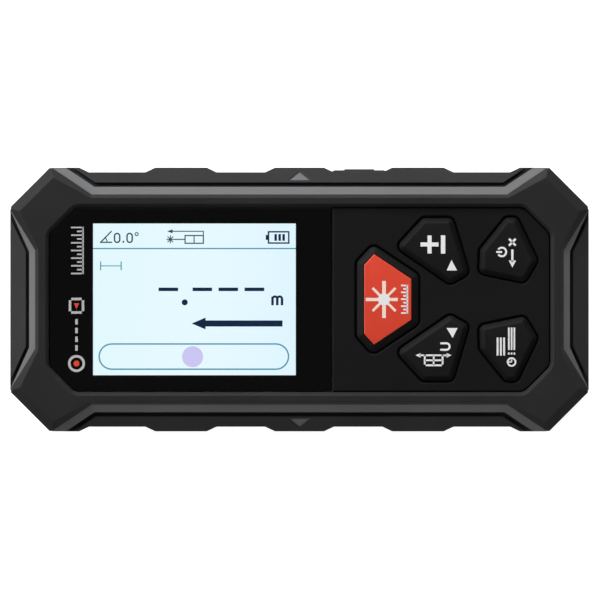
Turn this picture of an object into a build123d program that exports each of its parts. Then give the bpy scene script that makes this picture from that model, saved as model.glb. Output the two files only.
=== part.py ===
"""Laser distance meter: a pocket range finder with a colour display, five keys and a rubber armoured case.

Frame: +Z is the face with the display and keys, the laser leaves along -X, and the origin is the middle of
the back, on the plane that the meter rests on. Everything is in millimetres.
"""

import math
import os

from build123d import *

# ---------------------------------------------------------------- driving sizes
LENGTH = 116.0  # laser end to base end, over the end pads
WIDTH = 52.9  # over the raised ribs of the side pads
HEIGHT = 27.0
SPLIT_Z = HEIGHT / 2  # seam between the front and rear halves

CORNER_X, CORNER_Y, CORNER_CUT = 57.7, 26.3, 7.7  # rubber corners: half length, half width, 45 degree cut
OPENING_X, OPENING_Y, OPENING_CUT = 50.2, 18.55, 5.3  # hole in the rim, for the window and the key panel
OPENING_ROUND = 2.2
RIM_BEVEL = 0.6
CORNER_BEVEL, CORNER_DROP = 1.9, 0.9  # wide bevels round the corner blocks
OVERCUT, RUN_OUT = 0.2, 3.0  # how far a bevel's wedge stands out of the block, as a share and past its end

SIDE_POCKET_Y, SIDE_POCKET_X = 21.0, 41.55  # where the long side's slope starts, and its straight half length
SIDE_FLARE = 1.49  # run along X for each mm along Y of the slanting pocket edge
END_POCKET_X, END_POCKET_Y = 52.85, 9.85
END_FLARE = 1.62  # run along Y for each mm along X
END_INNER_FLARE = 2.15  # the end stripes get narrower towards the corners
POCKET_TOP = 26.1
SHOULDER_Z = 21.5  # the slopes end here and the upright walls start

SKIN = 1.5  # rubber over the hard shell
WALL = 1.6  # hard shell
SHELL_X, SHELL_Y, SHELL_CUT = 56.0, 24.0, 6.5
CUT_SHRINK = 2 - math.sqrt(2)  # how much shorter a 45 degree cut gets for each mm that its walls move in
DECK_TOP = 24.4  # the window and the key panel lie on this deck
DECK_BOTTOM = 23.2
ROOT = 0.2  # how far a post or boss reaches into the wall that it grows from

STRIPE_SIDE, STRIPE_END = 1.55, 1.25  # grey ribs of the hard shell that show through the rubber
STRIPE_INSET = 0.12
GROOVE_SIDE, GROOVE_END, GROOVE_DEPTH = 0.85, 0.65, 0.8
MARK_BASE_Y, MARK_TIP_Y, MARK_HALF = 23.9, 25.65, 2.15  # arrows beside the tripod thread

VALLEY_Y = 25.5  # floor of the scallops between the ribs of the side pads
SCALLOPS = [(6.9, 16.6), (30.9, 42.2)]
SCALLOP_FLARE = 2.0

FACE_TOP = 26.0  # top of the window and of the key panel
FACE_GAP = 0.1  # round the window and the key panel
FACE_SPLIT_X = 6.5  # the window ends here and the key panel starts
MASK = 0.15  # printed frame behind the glass
GLASS_BEVEL = 0.15

SCREEN_X, SCREEN_Y = -21.05, 0.0
SCREEN_W, SCREEN_H = 40.8, 30.6  # two inch display, four to three
LCD_X, LCD_W, LCD_H = -21.9, 46.4, 34.8
LCD_GAP = 0.3
LCD_TOP, LCD_THICK, LIGHT_THICK = 24.2, 1.3, 1.0

BOARD_TOP, BOARD_THICK = 20.6, 1.2
BOARD_BOTTOM = BOARD_TOP - BOARD_THICK
BOARD_X, BOARD_Y, BOARD_CUT = 53.0, 21.4, 10.0
BOARD_POSTS = [(-47.7, 10.0), (-47.7, -10.0), (4.2, 15.0), (4.2, -15.0), (50.8, 0.0)]
POST = 1.8
BOARD_SCREW, BOARD_HEAD, SMALL_HEAD_THICK = 0.75, 1.6, 1.1
SCREW_BITE = 2.0  # thread in the plastic
PILOT_DEPTH = SCREW_BITE + 0.4
SLIDE_FIT, PRESS_FIT = 0.15, 0.05  # clearance round a screw in its through hole and in its pilot hole

KEY_GAP = 0.3  # between a key and its hole in the panel
KEY_TOP = 26.8
KEY_BEVEL, KEY_DROP = 1.0, 0.9
KEY_FLANGE, FLANGE_TOP, FLANGE_THICK = 0.45, 24.2, 0.5
KEY_ROUND = 1.6
PANEL_BEVEL = 0.25
PLUNGER = 1.75
MAT_LONG, MAT_WIDE, MAT_ROUND, MAT_X, MAT_THICK = 35.0, 31.0, 3.0, 30.0, 0.8
DOME_WALL, DOME_GAP, DOME_TALL = 0.8, 0.5, 1.9
PILL_BOTTOM, PILL_TOP = 21.5, 22.1
MEASURE_SKIRT = 1.75  # black skirt round the red cap
CAP_TOP, CAP_THICK, CAP_LIP, CAP_BEVEL = 26.9, 0.8, 0.12, 0.15

USB_X, USB_Z = 12.0, BOARD_BOTTOM - 1.6
USB_W, USB_H, USB_LONG = 8.94, 3.2, 7.3
PORT_W, PORT_H, PORT_ROUND = 9.8, 4.0, 1.2
SOCKET_MOUTH_Y, SOCKET_WALL = 22.0, 0.3
TONGUE_W, TONGUE_H, TONGUE_BACK = 6.7, 0.7, 0.6
COVER_W, COVER_LOW, COVER_HIGH = 10.7, 15.0, 20.7
COVER_OUT, COVER_IN = 25.95, 24.15
COVER_GAP = 0.15
BEAD = 0.7  # round lower edge that the cover bends on
AXIS_Y = COVER_OUT - BEAD

CASE_SCREWS = [(x, y) for x in (-50.0, 50.0) for y in (-18.6, 18.6)]
CASE_BOSS, REAR_BOSS = 2.5, 3.1
CASE_SCREW, CASE_HEAD, HEAD_THICK = 1.1, 2.0, 1.8
CASE_SCREW_LONG, CASE_PILOT = 15.5, 8.0
HEAD_SEAT = 5.0

BACK_PANEL_Z, FLOOR_Z = 0.6, 2.2  # outer and inner faces of the back panel
CAVITY_FLOOR = HEIGHT - DECK_BOTTOM
TRIPOD_BORE, TRIPOD_DEPTH = 2.6, 6.5  # minor radius of a quarter inch tripod thread
INSERT_RADIUS, INSERT_TOP, TRIPOD_BOSS = 4.5, 9.0, 6.6

OPTIC_Z = 11.8
LENS_Y, LASER_Y = -4.5, 8.5
LENS_RADIUS, LENS_HOLE, LASER_HOLE = 5.5, 5.0, 2.2
BEZEL_Y, BEZEL_W, BEZEL_H, BEZEL_ROUND = 0.5, 27.0, 12.6, 3.0
BEZEL_FACE, BEZEL_BACK = -57.7, -SHELL_X
OPTIC_LEDGE, OPTIC_WINDOW_THICK = 0.7, 1.1
OPTIC_WINDOW_W, OPTIC_WINDOW_H = (side - 2 * (OPTIC_LEDGE + PRESS_FIT) for side in (BEZEL_W, BEZEL_H))
BEZEL_BEVEL = 0.35
BEZEL_DEEP = 3.0  # of the hole in the rubber, which is open to the outside
CARRIER_FRONT, CARRIER_BACK = -52.4, -25.0
CARRIER_LOW, CARRIER_HIGH, CARRIER_WALL_Y = 5.2, 18.0, (-11.4, 12.6)
CARRIER_EARS = [(-43.0, -14.6), (-30.0, -14.6), (-36.5, 15.8)]
EAR, EAR_THICK, ARM = 2.6, 2.0, 8.0
BARREL = 3.2

BATTERY_X, BATTERY_Y, BATTERY_Z = (9.0, 45.4), 15.0, (2.7, 12.7)
POUCH_ROUND, PAD_MARGIN = 1.5, 2.5
WIRE = 0.6

os.makedirs("parts", exist_ok=True)


# ---------------------------------------------------------------- shared shapes
def cut_rectangle(half_x, half_y, cut):
    """Corners of a rectangle whose four corners are cut off at 45 degrees."""
    quarter = [(half_x, half_y - cut), (half_x - cut, half_y)]
    return [
        *quarter,
        *[(-x, y) for x, y in reversed(quarter)],
        *[(-x, -y) for x, y in quarter],
        *[(x, -y) for x, y in reversed(quarter)],
    ]


def slope_planes(inset):
    """Planes of the four sloping faces round the front, moved into the body by inset."""
    planes = []
    for sign in (1, -1):
        side = Vector(0, sign * (POCKET_TOP - SHOULDER_Z), WIDTH / 2 - SIDE_POCKET_Y).normalized()
        planes.append(Plane(Vector(0, sign * SIDE_POCKET_Y, POCKET_TOP) - side * inset, z_dir=side))
        end = Vector(sign * (POCKET_TOP - SHOULDER_Z), 0, LENGTH / 2 - END_POCKET_X).normalized()
        planes.append(Plane(Vector(sign * END_POCKET_X, 0, POCKET_TOP) - end * inset, z_dir=end))
    return planes


def sloped_block(outline, top, inset):
    """The front half of a block with that outline, under the sloping faces."""
    with BuildPart() as block:
        with BuildSketch(Plane.XY.offset(SPLIT_Z)):
            with BuildLine():
                Polyline(*outline, close=True)
            make_face()
        extrude(amount=top - SPLIT_Z)
        for plane in slope_planes(inset):
            split(bisect_by=plane, keep=Keep.BOTTOM)
    return block.part


def side_pocket(inset):
    """Outline of the long side's pocket, seen from the front, with its edges moved in by inset."""
    turn = math.atan(1 / SIDE_FLARE)
    y = SIDE_POCKET_Y + inset
    x = SIDE_POCKET_X - inset * math.tan(turn / 2)
    far = WIDTH / 2 + 1.5
    reach = x + (far - y) * SIDE_FLARE
    return [(-x, y), (x, y), (reach, far), (-reach, far)]


def end_pocket(inset, flare=END_FLARE):
    """Outline of the base end's pocket, seen from the front."""
    turn = math.atan(1 / flare)
    x = END_POCKET_X + inset
    y = END_POCKET_Y - inset * math.tan(turn / 2)
    far = LENGTH / 2 + 1.5
    reach = y + (far - x) * flare
    return [(x, -y), (far, -reach), (far, reach), (x, y)]


def flat_shape(*outlines):
    """A face inside the first outline and outside the others, on the XY plane."""
    with BuildSketch() as shape:
        for number, outline in enumerate(outlines):
            with BuildLine():
                Polyline(*outline, close=True)
            make_face(mode=Mode.SUBTRACT if number else Mode.ADD)
    return shape.sketch


def prism(sketch, low, high):
    """A flat shape that lies on the XY plane, pulled up between two heights."""
    with BuildPart() as pulled:
        with BuildSketch(Plane.XY.offset(low)):
            add(sketch)
        extrude(amount=high - low)
    return pulled.part


def to_rear(part):
    """The same shape on the other side of the seam."""
    with BuildPart() as flipped:
        add(part)
        mirror(about=Plane.XY.offset(SPLIT_Z), mode=Mode.REPLACE)
    return flipped.part


def bevel_wedge(start, end, start_cut, end_cut, start_extra, end_extra):
    """A wedge that bevels the front edge from start to end. Each cut is its width and its drop."""
    along = Vector(end[0] - start[0], end[1] - start[1], 0).normalized()
    inward = Vector(-along.Y, along.X, 0)
    first = Vector(*start, HEIGHT) - along * start_extra
    last = Vector(*end, HEIGHT) + along * end_extra
    with BuildPart() as wedge:
        for place, (wide, drop) in ((first, start_cut), (last, end_cut)):
            with BuildSketch(Plane(place, x_dir=inward, z_dir=along)):
                with BuildLine():
                    Polyline(
                        ((1 + OVERCUT) * wide, OVERCUT * drop),
                        (-2 * OVERCUT * wide, -(1 + 2 * OVERCUT) * drop),
                        (-2 * OVERCUT * wide, OVERCUT * drop),
                        close=True,
                    )
                make_face()
        loft(ruled=True)
    return wedge.part


def write(part, name):
    part.label = name
    export_step(part, f"parts/{name}.step")


with BuildSketch() as opening:
    with BuildLine():
        Polyline(*cut_rectangle(OPENING_X, OPENING_Y, OPENING_CUT), close=True)
    make_face()
    fillet(opening.vertices(), OPENING_ROUND)

with BuildSketch() as face:
    add(opening.sketch)
    offset(amount=-FACE_GAP, mode=Mode.REPLACE)

shell_outline = cut_rectangle(SHELL_X, SHELL_Y, SHELL_CUT)
inner_outline = cut_rectangle(SHELL_X - WALL, SHELL_Y - WALL, SHELL_CUT - CUT_SHRINK * WALL)
pad_outline = cut_rectangle(LENGTH / 2, WIDTH / 2, 0.01)
shell_core = sloped_block(shell_outline, DECK_TOP, SKIN)
cavity = sloped_block(inner_outline, DECK_BOTTOM, SKIN + WALL)

# ---------------------------------------------------------------- grey ribs and marks of the hard shell
with BuildSketch() as rib_shapes:
    add(flat_shape(side_pocket(0), side_pocket(STRIPE_SIDE)))
    with BuildLine():
        Polyline((-MARK_HALF, MARK_BASE_Y), (MARK_HALF, MARK_BASE_Y), (0, MARK_TIP_Y), close=True)
    make_face()
    mirror(about=Plane.XZ)

with BuildSketch() as end_rib_shapes:
    add(flat_shape(end_pocket(0), end_pocket(STRIPE_END, END_INNER_FLARE)))
    mirror(about=Plane.YZ)

with BuildPart() as rib_space:
    add(prism(rib_shapes.sketch, SPLIT_Z, POCKET_TOP))
    add(prism(end_rib_shapes.sketch, SPLIT_Z, POCKET_TOP))

with BuildPart() as shell_skin:
    add(rib_space.part)
    add(sloped_block(pad_outline, POCKET_TOP, STRIPE_INSET), mode=Mode.INTERSECT)
    add(shell_core)

# ---------------------------------------------------------------- rubber rim and corners
bend_side, bend_end = (SIDE_POCKET_X, SIDE_POCKET_Y), (END_POCKET_X, END_POCKET_Y)
tip_side = (SIDE_POCKET_X + (CORNER_Y - SIDE_POCKET_Y) * SIDE_FLARE, CORNER_Y)
tip_end = (CORNER_X, END_POCKET_Y + (CORNER_X - END_POCKET_X) * END_FLARE)
cut_from, cut_to = (CORNER_X, CORNER_Y - CORNER_CUT), (CORNER_X - CORNER_CUT, CORNER_Y)
small_cut, wide_cut = (RIM_BEVEL, RIM_BEVEL), (CORNER_BEVEL, CORNER_DROP)
side_mitre = RIM_BEVEL * math.tan(math.atan(1 / SIDE_FLARE) / 2)
end_mitre = RIM_BEVEL * math.tan(math.atan(1 / END_FLARE) / 2)

with BuildPart() as corner_bevels:
    add(bevel_wedge(tip_side, bend_side, wide_cut, small_cut, RUN_OUT, side_mitre))
    add(bevel_wedge(bend_end, tip_end, small_cut, wide_cut, end_mitre, RUN_OUT))
    add(bevel_wedge(cut_from, cut_to, wide_cut, wide_cut, RUN_OUT, RUN_OUT))
    mirror(about=Plane.XZ)
    mirror(about=Plane.YZ)

with BuildPart() as rim_bevels:
    add(bevel_wedge(bend_side, (-bend_side[0], bend_side[1]), small_cut, small_cut, side_mitre, side_mitre))
    mirror(about=Plane.XZ)
    add(bevel_wedge((bend_end[0], -bend_end[1]), bend_end, small_cut, small_cut, end_mitre, end_mitre))
    mirror(about=Plane.YZ)

with BuildPart() as armour:
    with BuildSketch(Plane.XY.offset(SPLIT_Z)):
        with BuildLine():
            Polyline(*cut_rectangle(CORNER_X, CORNER_Y, CORNER_CUT), close=True)
        make_face()
        for sign in (1, -1):
            for outline in (side_pocket(0), end_pocket(0)):
                with BuildLine():
                    Polyline(*[(sign * x, sign * y) for x, y in outline], close=True)
                make_face(mode=Mode.SUBTRACT)
        add(opening.sketch, mode=Mode.SUBTRACT)
    extrude(amount=HEIGHT - SPLIT_Z)
    mouth = armour.faces().sort_by(Axis.Z)[-1].inner_wires()[0]
    chamfer(mouth.edges(), RIM_BEVEL)
    add(corner_bevels.part, mode=Mode.SUBTRACT)
    add(rim_bevels.part, mode=Mode.SUBTRACT)
    add(shell_skin.part, mode=Mode.SUBTRACT)
write(armour.part, "front_bumper")

with BuildPart() as rear_bumper:
    add(to_rear(armour.part))
    with BuildSketch():
        with Locations(*CASE_SCREWS):
            Circle(CASE_HEAD + 0.35)
    extrude(amount=SPLIT_Z, mode=Mode.SUBTRACT)
write(rear_bumper.part, "rear_bumper")

# ---------------------------------------------------------------- rubber pads
groove_space = sloped_block(pad_outline, POCKET_TOP, GROOVE_DEPTH)
side_groove_shape = flat_shape(side_pocket(STRIPE_SIDE), side_pocket(STRIPE_SIDE + GROOVE_SIDE))
end_groove_shape = flat_shape(
    end_pocket(STRIPE_END, END_INNER_FLARE), end_pocket(STRIPE_END + GROOVE_END, END_INNER_FLARE)
)

with BuildPart() as side_groove:
    add(prism(side_groove_shape, SHOULDER_Z, POCKET_TOP))
    add(groove_space, mode=Mode.SUBTRACT)

with BuildPart() as end_groove:
    add(prism(end_groove_shape, SHOULDER_Z, POCKET_TOP))
    add(groove_space, mode=Mode.SUBTRACT)

with BuildPart() as side_pad:
    add(prism(flat_shape(side_pocket(STRIPE_SIDE)), SPLIT_Z, POCKET_TOP))
    add(sloped_block(pad_outline, POCKET_TOP, 0), mode=Mode.INTERSECT)
    with BuildSketch(Plane.XY.offset(SPLIT_Z)):
        for near, far in SCALLOPS:
            with BuildLine():
                Polyline(
                    (near, VALLEY_Y),
                    (near - SCALLOP_FLARE, WIDTH / 2),
                    (near - SCALLOP_FLARE, WIDTH),
                    (far + SCALLOP_FLARE, WIDTH),
                    (far + SCALLOP_FLARE, WIDTH / 2),
                    (far, VALLEY_Y),
                    close=True,
                )
            make_face()
        mirror(about=Plane.YZ)
    extrude(amount=HEIGHT - SPLIT_Z, mode=Mode.SUBTRACT)
    add(shell_core, mode=Mode.SUBTRACT)
    add(rib_space.part, mode=Mode.SUBTRACT)
    add(side_groove.part, mode=Mode.SUBTRACT)

with BuildPart() as end_pad:
    add(prism(flat_shape(end_pocket(0)), SPLIT_Z, POCKET_TOP))
    add(sloped_block(pad_outline, POCKET_TOP, 0), mode=Mode.INTERSECT)
    add(shell_core, mode=Mode.SUBTRACT)
    add(rib_space.part, mode=Mode.SUBTRACT)
    add(end_groove.part, mode=Mode.SUBTRACT)

RECESS_W, RECESS_FLOOR_Y = COVER_W + 2 * COVER_GAP, SHELL_Y - 0.02
with BuildPart() as cover_recess:
    with BuildSketch(Plane.XZ.offset(-RECESS_FLOOR_Y)):
        with Locations((USB_X, (COVER_LOW + COVER_HIGH) / 2 + COVER_GAP)):
            Rectangle(RECESS_W, COVER_HIGH - COVER_LOW + 2 * COVER_GAP)
    extrude(amount=RECESS_FLOOR_Y - WIDTH)
    with BuildSketch(Plane.YZ.offset(USB_X - RECESS_W / 2)):
        with Locations((AXIS_Y, COVER_LOW)):
            Circle(BEAD + COVER_GAP)
            Rectangle(WIDTH, 2 * (BEAD + COVER_GAP), align=(Align.MIN, Align.CENTER))
    extrude(amount=RECESS_W)

with BuildPart() as front_grip_usb_side:
    add(side_pad.part)
    add(cover_recess.part, mode=Mode.SUBTRACT)
write(front_grip_usb_side.part, "front_grip_usb_side")

with BuildPart() as front_grip_plain_side:
    add(side_pad.part)
    mirror(about=Plane.XZ, mode=Mode.REPLACE)
write(front_grip_plain_side.part, "front_grip_plain_side")

write(end_pad.part, "front_grip_base_end")

with BuildPart() as bezel_space:
    with BuildSketch(Plane.YZ.offset(BEZEL_BACK)):
        with Locations((BEZEL_Y, OPTIC_Z)):
            RectangleRounded(BEZEL_W + 2 * PRESS_FIT, BEZEL_H + 2 * PRESS_FIT, BEZEL_ROUND + PRESS_FIT)
    extrude(amount=-BEZEL_DEEP)

with BuildPart() as front_grip_laser_end:
    add(end_pad.part)
    mirror(about=Plane.YZ, mode=Mode.REPLACE)
    add(bezel_space.part, mode=Mode.SUBTRACT)
write(front_grip_laser_end.part, "front_grip_laser_end")

with BuildPart() as rear_grip_usb_side:
    add(to_rear(side_pad.part))
write(rear_grip_usb_side.part, "rear_grip_usb_side")

with BuildPart() as rear_grip_plain_side:
    add(to_rear(side_pad.part))
    mirror(about=Plane.XZ, mode=Mode.REPLACE)
write(rear_grip_plain_side.part, "rear_grip_plain_side")

with BuildPart() as rear_grip_base_end:
    add(to_rear(end_pad.part))
write(rear_grip_base_end.part, "rear_grip_base_end")

with BuildPart() as rear_grip_laser_end:
    add(to_rear(end_pad.part))
    mirror(about=Plane.YZ, mode=Mode.REPLACE)
    add(bezel_space.part, mode=Mode.SUBTRACT)
write(rear_grip_laser_end.part, "rear_grip_laser_end")

# ---------------------------------------------------------------- keys: outlines of their holes in the panel
MEASURE = [(12.9, 6.9), (14.9, 9.1), (22.4, 4.1), (22.4, -4.1), (14.9, -9.1), (12.9, -6.9)]
PLUS_MINUS = [(24.5, 16.6), (30.85, 16.6), (34.3, 5.0), (30.1, 2.65), (18.8, 10.4)]
OFF_CLEAR = [(41.1, 16.7), (43.7, 16.7), (48.0, 7.7), (45.2, 3.0), (35.6, 5.0), (35.8, 10.1)]

with BuildSketch() as measure_hole:
    with BuildLine():
        Polyline(*MEASURE, close=True)
    make_face()
    offset(amount=MEASURE_SKIRT, kind=Kind.ARC, mode=Mode.REPLACE)

with BuildSketch() as plus_hole:
    with BuildLine():
        Polyline(*PLUS_MINUS, close=True)
    make_face()
    fillet(plus_hole.vertices(), KEY_ROUND)

with BuildSketch() as off_hole:
    with BuildLine():
        Polyline(*OFF_CLEAR, close=True)
    make_face()
    fillet(off_hole.vertices(), KEY_ROUND)

with BuildSketch() as area_hole:
    add(plus_hole.sketch)
    mirror(about=Plane.XZ, mode=Mode.REPLACE)

with BuildSketch() as record_hole:
    add(off_hole.sketch)
    mirror(about=Plane.XZ, mode=Mode.REPLACE)

key_holes = {
    "measure": (measure_hole.sketch, (17.6, 0.0)),
    "plus_minus": (plus_hole.sketch, (27.4, 10.4)),
    "area_unit": (area_hole.sketch, (27.4, -10.4)),
    "off_clear": (off_hole.sketch, (41.4, 10.0)),
    "fun_record": (record_hole.sketch, (41.4, -10.0)),
}

for name, (hole, (plunger_x, plunger_y)) in key_holes.items():
    bevel = MEASURE_SKIRT - KEY_GAP - CAP_LIP if name == "measure" else KEY_BEVEL
    with BuildPart() as key:
        with BuildSketch(Plane.XY.offset(FLANGE_TOP)):
            add(hole)
            offset(amount=-KEY_GAP, mode=Mode.REPLACE)
        extrude(amount=KEY_TOP - FLANGE_TOP)
        crown = key.faces().sort_by(Axis.Z)[-1]
        chamfer(crown.edges(), length=bevel, length2=KEY_DROP, reference=crown)
        with BuildSketch(Plane.XY.offset(FLANGE_TOP - FLANGE_THICK)):
            add(hole)
            offset(amount=KEY_FLANGE, mode=Mode.REPLACE)
        extrude(amount=FLANGE_THICK)
        with BuildSketch(Plane.XY.offset(PILL_TOP)):
            with Locations((plunger_x, plunger_y)):
                Circle(PLUNGER)
        extrude(amount=FLANGE_TOP - FLANGE_THICK - PILL_TOP)
        if name == "measure":
            with BuildSketch(Plane.XY.offset(CAP_TOP - CAP_THICK)):
                with BuildLine():
                    Polyline(*MEASURE, close=True)
                make_face()
            extrude(amount=CAP_THICK, mode=Mode.SUBTRACT)
    write(key.part, f"key_{name}")

    with BuildPart() as pill:
        with BuildSketch(Plane.XY.offset(PILL_BOTTOM)):
            with Locations((plunger_x, plunger_y)):
                Circle(PLUNGER)
        extrude(amount=PILL_TOP - PILL_BOTTOM)
    write(pill.part, f"contact_pill_{name}")

with BuildPart() as measure_cap:
    with BuildSketch(Plane.XY.offset(CAP_TOP - CAP_THICK)):
        with BuildLine():
            Polyline(*MEASURE, close=True)
        make_face()
    extrude(amount=CAP_THICK)
    chamfer(measure_cap.faces().sort_by(Axis.Z)[-1].edges(), CAP_BEVEL)
write(measure_cap.part, "key_measure_cap")

# ---------------------------------------------------------------- hard shells
KEYPAD_CUT_X, KEYPAD_LEDGE = 10.3, 1.2
with BuildSketch() as keypad_cut:
    add(face.sketch)
    offset(amount=-KEYPAD_LEDGE, mode=Mode.REPLACE)
    with Locations((KEYPAD_CUT_X, 0)):
        Rectangle(LENGTH, WIDTH, align=(Align.MIN, Align.CENTER), mode=Mode.INTERSECT)

with BuildPart() as beam_opening:
    with BuildSketch(Plane.YZ.offset(BEZEL_FACE)):
        with Locations((BEZEL_Y, OPTIC_Z)):
            RectangleRounded(BEZEL_W - 2 * OPTIC_LEDGE, BEZEL_H - 2 * OPTIC_LEDGE, BEZEL_ROUND - OPTIC_LEDGE)
    extrude(amount=CARRIER_FRONT - BEZEL_FACE)

GASKET_SEAT, GASKET_WIDE, GASKET_DEEP = 0.45, 0.7, 0.65


def wall_ring(near, far):
    """A ring that follows the shell's wall, between two distances in from its outer face."""
    rings = [cut_rectangle(SHELL_X - d, SHELL_Y - d, SHELL_CUT - CUT_SHRINK * d) for d in (near, far)]
    return flat_shape(*rings)


with BuildPart() as front_shell:
    add(shell_skin.part)
    add(cavity, mode=Mode.SUBTRACT)
    with BuildSketch(Plane.XY.offset(BOARD_TOP)):
        with Locations(*BOARD_POSTS):
            Circle(POST)
    extrude(amount=DECK_BOTTOM - BOARD_TOP + ROOT)
    with BuildSketch(Plane.XY.offset(SPLIT_Z)):
        with Locations(*CASE_SCREWS):
            Circle(CASE_BOSS)
    extrude(amount=DECK_BOTTOM - SPLIT_Z + ROOT)
    with BuildSketch(Plane.XY.offset(BOARD_TOP)):
        with Locations((LCD_X, 0)):
            Rectangle(LCD_W + 2 * LCD_GAP, LCD_H + 2 * LCD_GAP)
        add(keypad_cut.sketch)
    extrude(amount=HEIGHT - BOARD_TOP, mode=Mode.SUBTRACT)
    with BuildSketch(Plane.XY.offset(BOARD_TOP)):
        with Locations(*BOARD_POSTS):
            Circle(BOARD_SCREW + PRESS_FIT)
    extrude(amount=PILOT_DEPTH, mode=Mode.SUBTRACT)
    with BuildSketch(Plane.XY.offset(SPLIT_Z)):
        with Locations(*CASE_SCREWS):
            Circle(CASE_SCREW + PRESS_FIT)
    extrude(amount=CASE_PILOT, mode=Mode.SUBTRACT)
    with BuildSketch(Plane.XZ.offset(-COVER_OUT)):
        with Locations((USB_X, USB_Z)):
            RectangleRounded(PORT_W, PORT_H, PORT_ROUND)
    extrude(amount=COVER_OUT - SOCKET_MOUTH_Y, mode=Mode.SUBTRACT)
    add(beam_opening.part, mode=Mode.SUBTRACT)
    add(bezel_space.part, mode=Mode.SUBTRACT)
    with BuildSketch(Plane.XY.offset(SPLIT_Z)):
        add(wall_ring(GASKET_SEAT, GASKET_SEAT + GASKET_WIDE))
    extrude(amount=GASKET_DEEP, mode=Mode.SUBTRACT)
write(front_shell.part, "front_shell")

with BuildPart() as case_gasket:
    with BuildSketch(Plane.XY.offset(SPLIT_Z)):
        add(wall_ring(GASKET_SEAT + PRESS_FIT, GASKET_SEAT + GASKET_WIDE - PRESS_FIT))
    extrude(amount=GASKET_DEEP - PRESS_FIT)
    add(beam_opening.part, mode=Mode.SUBTRACT)
write(case_gasket.part, "case_gasket")

LABEL_X, LABEL_W, LABEL_H, LABEL_ROUND, LABEL_THICK = 28.0, 32.0, 22.0, 1.4, 0.12
SOUND_X, SOUND_Y = -14.0, -11.0  # the buzzer, and the slots that it is heard through
SLOT_COUNT, SLOT_STEP, SLOT_LONG, SLOT_WIDE = 4, 2.0, 6.0, 0.9
BUZZER, BUZZER_DEEP, BUZZER_HOLE, BUZZER_HOLE_DEEP = 4.5, 3.2, 1.0, 1.5

with BuildPart() as rear_shell:
    add(to_rear(shell_skin.part))
    with BuildSketch(Plane.XY.offset(BACK_PANEL_Z)):
        add(face.sketch)
    extrude(amount=CAVITY_FLOOR - BACK_PANEL_Z)
    add(to_rear(cavity), mode=Mode.SUBTRACT)
    with BuildSketch(Plane.XY.offset(FLOOR_Z)):
        add(face.sketch)
        offset(amount=-WALL, mode=Mode.REPLACE)
    extrude(amount=SPLIT_Z - FLOOR_Z, mode=Mode.SUBTRACT)
    with BuildSketch(Plane.XY.offset(FLOOR_Z)):
        Circle(TRIPOD_BOSS)
    extrude(amount=INSERT_TOP + WALL - FLOOR_Z)
    with BuildSketch(Plane.XY.offset(FLOOR_Z)):
        with Locations(*CARRIER_EARS):
            Circle(EAR)
    extrude(amount=CARRIER_LOW - FLOOR_Z)
    with BuildSketch(Plane.XY.offset(CAVITY_FLOOR - ROOT)):
        with Locations(*CASE_SCREWS):
            Circle(REAR_BOSS)
    extrude(amount=SPLIT_Z - CAVITY_FLOOR + ROOT)
    with BuildSketch(Plane.XY.offset(BACK_PANEL_Z)):
        with Locations(*CASE_SCREWS):
            Circle(CASE_SCREW + SLIDE_FIT)
    extrude(amount=SPLIT_Z - BACK_PANEL_Z, mode=Mode.SUBTRACT)
    with BuildSketch(Plane.XY.offset(BACK_PANEL_Z)):
        with Locations(*CASE_SCREWS):
            Circle(CASE_HEAD + SLIDE_FIT)
    extrude(amount=HEAD_SEAT - BACK_PANEL_Z, mode=Mode.SUBTRACT)
    with BuildSketch(Plane.XY.offset(CARRIER_LOW - PILOT_DEPTH)):
        with Locations(*CARRIER_EARS):
            Circle(BOARD_SCREW + PRESS_FIT)
    extrude(amount=PILOT_DEPTH, mode=Mode.SUBTRACT)
    with BuildSketch(Plane.XY.offset(BACK_PANEL_Z)):
        Circle(INSERT_RADIUS)
    extrude(amount=INSERT_TOP - BACK_PANEL_Z, mode=Mode.SUBTRACT)
    with BuildSketch(Plane.XY.offset(BACK_PANEL_Z)):
        with Locations((LABEL_X, 0)):
            RectangleRounded(LABEL_W + 2 * SLIDE_FIT, LABEL_H + 2 * SLIDE_FIT, LABEL_ROUND + SLIDE_FIT)
    extrude(amount=LABEL_THICK, mode=Mode.SUBTRACT)
    with BuildSketch(Plane.XY.offset(BACK_PANEL_Z)):
        with Locations((SOUND_X, SOUND_Y)):
            with GridLocations(SLOT_STEP, 0, SLOT_COUNT, 1):
                SlotOverall(SLOT_LONG, SLOT_WIDE, rotation=90)
    extrude(amount=FLOOR_Z - BACK_PANEL_Z, mode=Mode.SUBTRACT)
    add(beam_opening.part, mode=Mode.SUBTRACT)
    add(bezel_space.part, mode=Mode.SUBTRACT)
write(rear_shell.part, "rear_shell")

with BuildPart() as rating_label:
    with BuildSketch(Plane.XY.offset(BACK_PANEL_Z)):
        with Locations((LABEL_X, 0)):
            RectangleRounded(LABEL_W, LABEL_H, LABEL_ROUND)
    extrude(amount=LABEL_THICK)
write(rating_label.part, "rating_label")

with BuildPart() as tripod_insert:
    with BuildSketch(Plane.XY.offset(BACK_PANEL_Z)):
        Circle(INSERT_RADIUS)
    extrude(amount=INSERT_TOP - BACK_PANEL_Z)
    with BuildSketch(Plane.XY.offset(BACK_PANEL_Z)):
        Circle(TRIPOD_BORE)
    extrude(amount=TRIPOD_DEPTH, mode=Mode.SUBTRACT)
write(tripod_insert.part, "tripod_insert")

# ---------------------------------------------------------------- front face
window_low = DECK_TOP + MASK

with BuildSketch() as window_shape:
    add(face.sketch)
    with Locations((FACE_SPLIT_X - FACE_GAP / 2, 0)):
        Rectangle(LENGTH, WIDTH, align=(Align.MAX, Align.CENTER), mode=Mode.INTERSECT)

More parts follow.
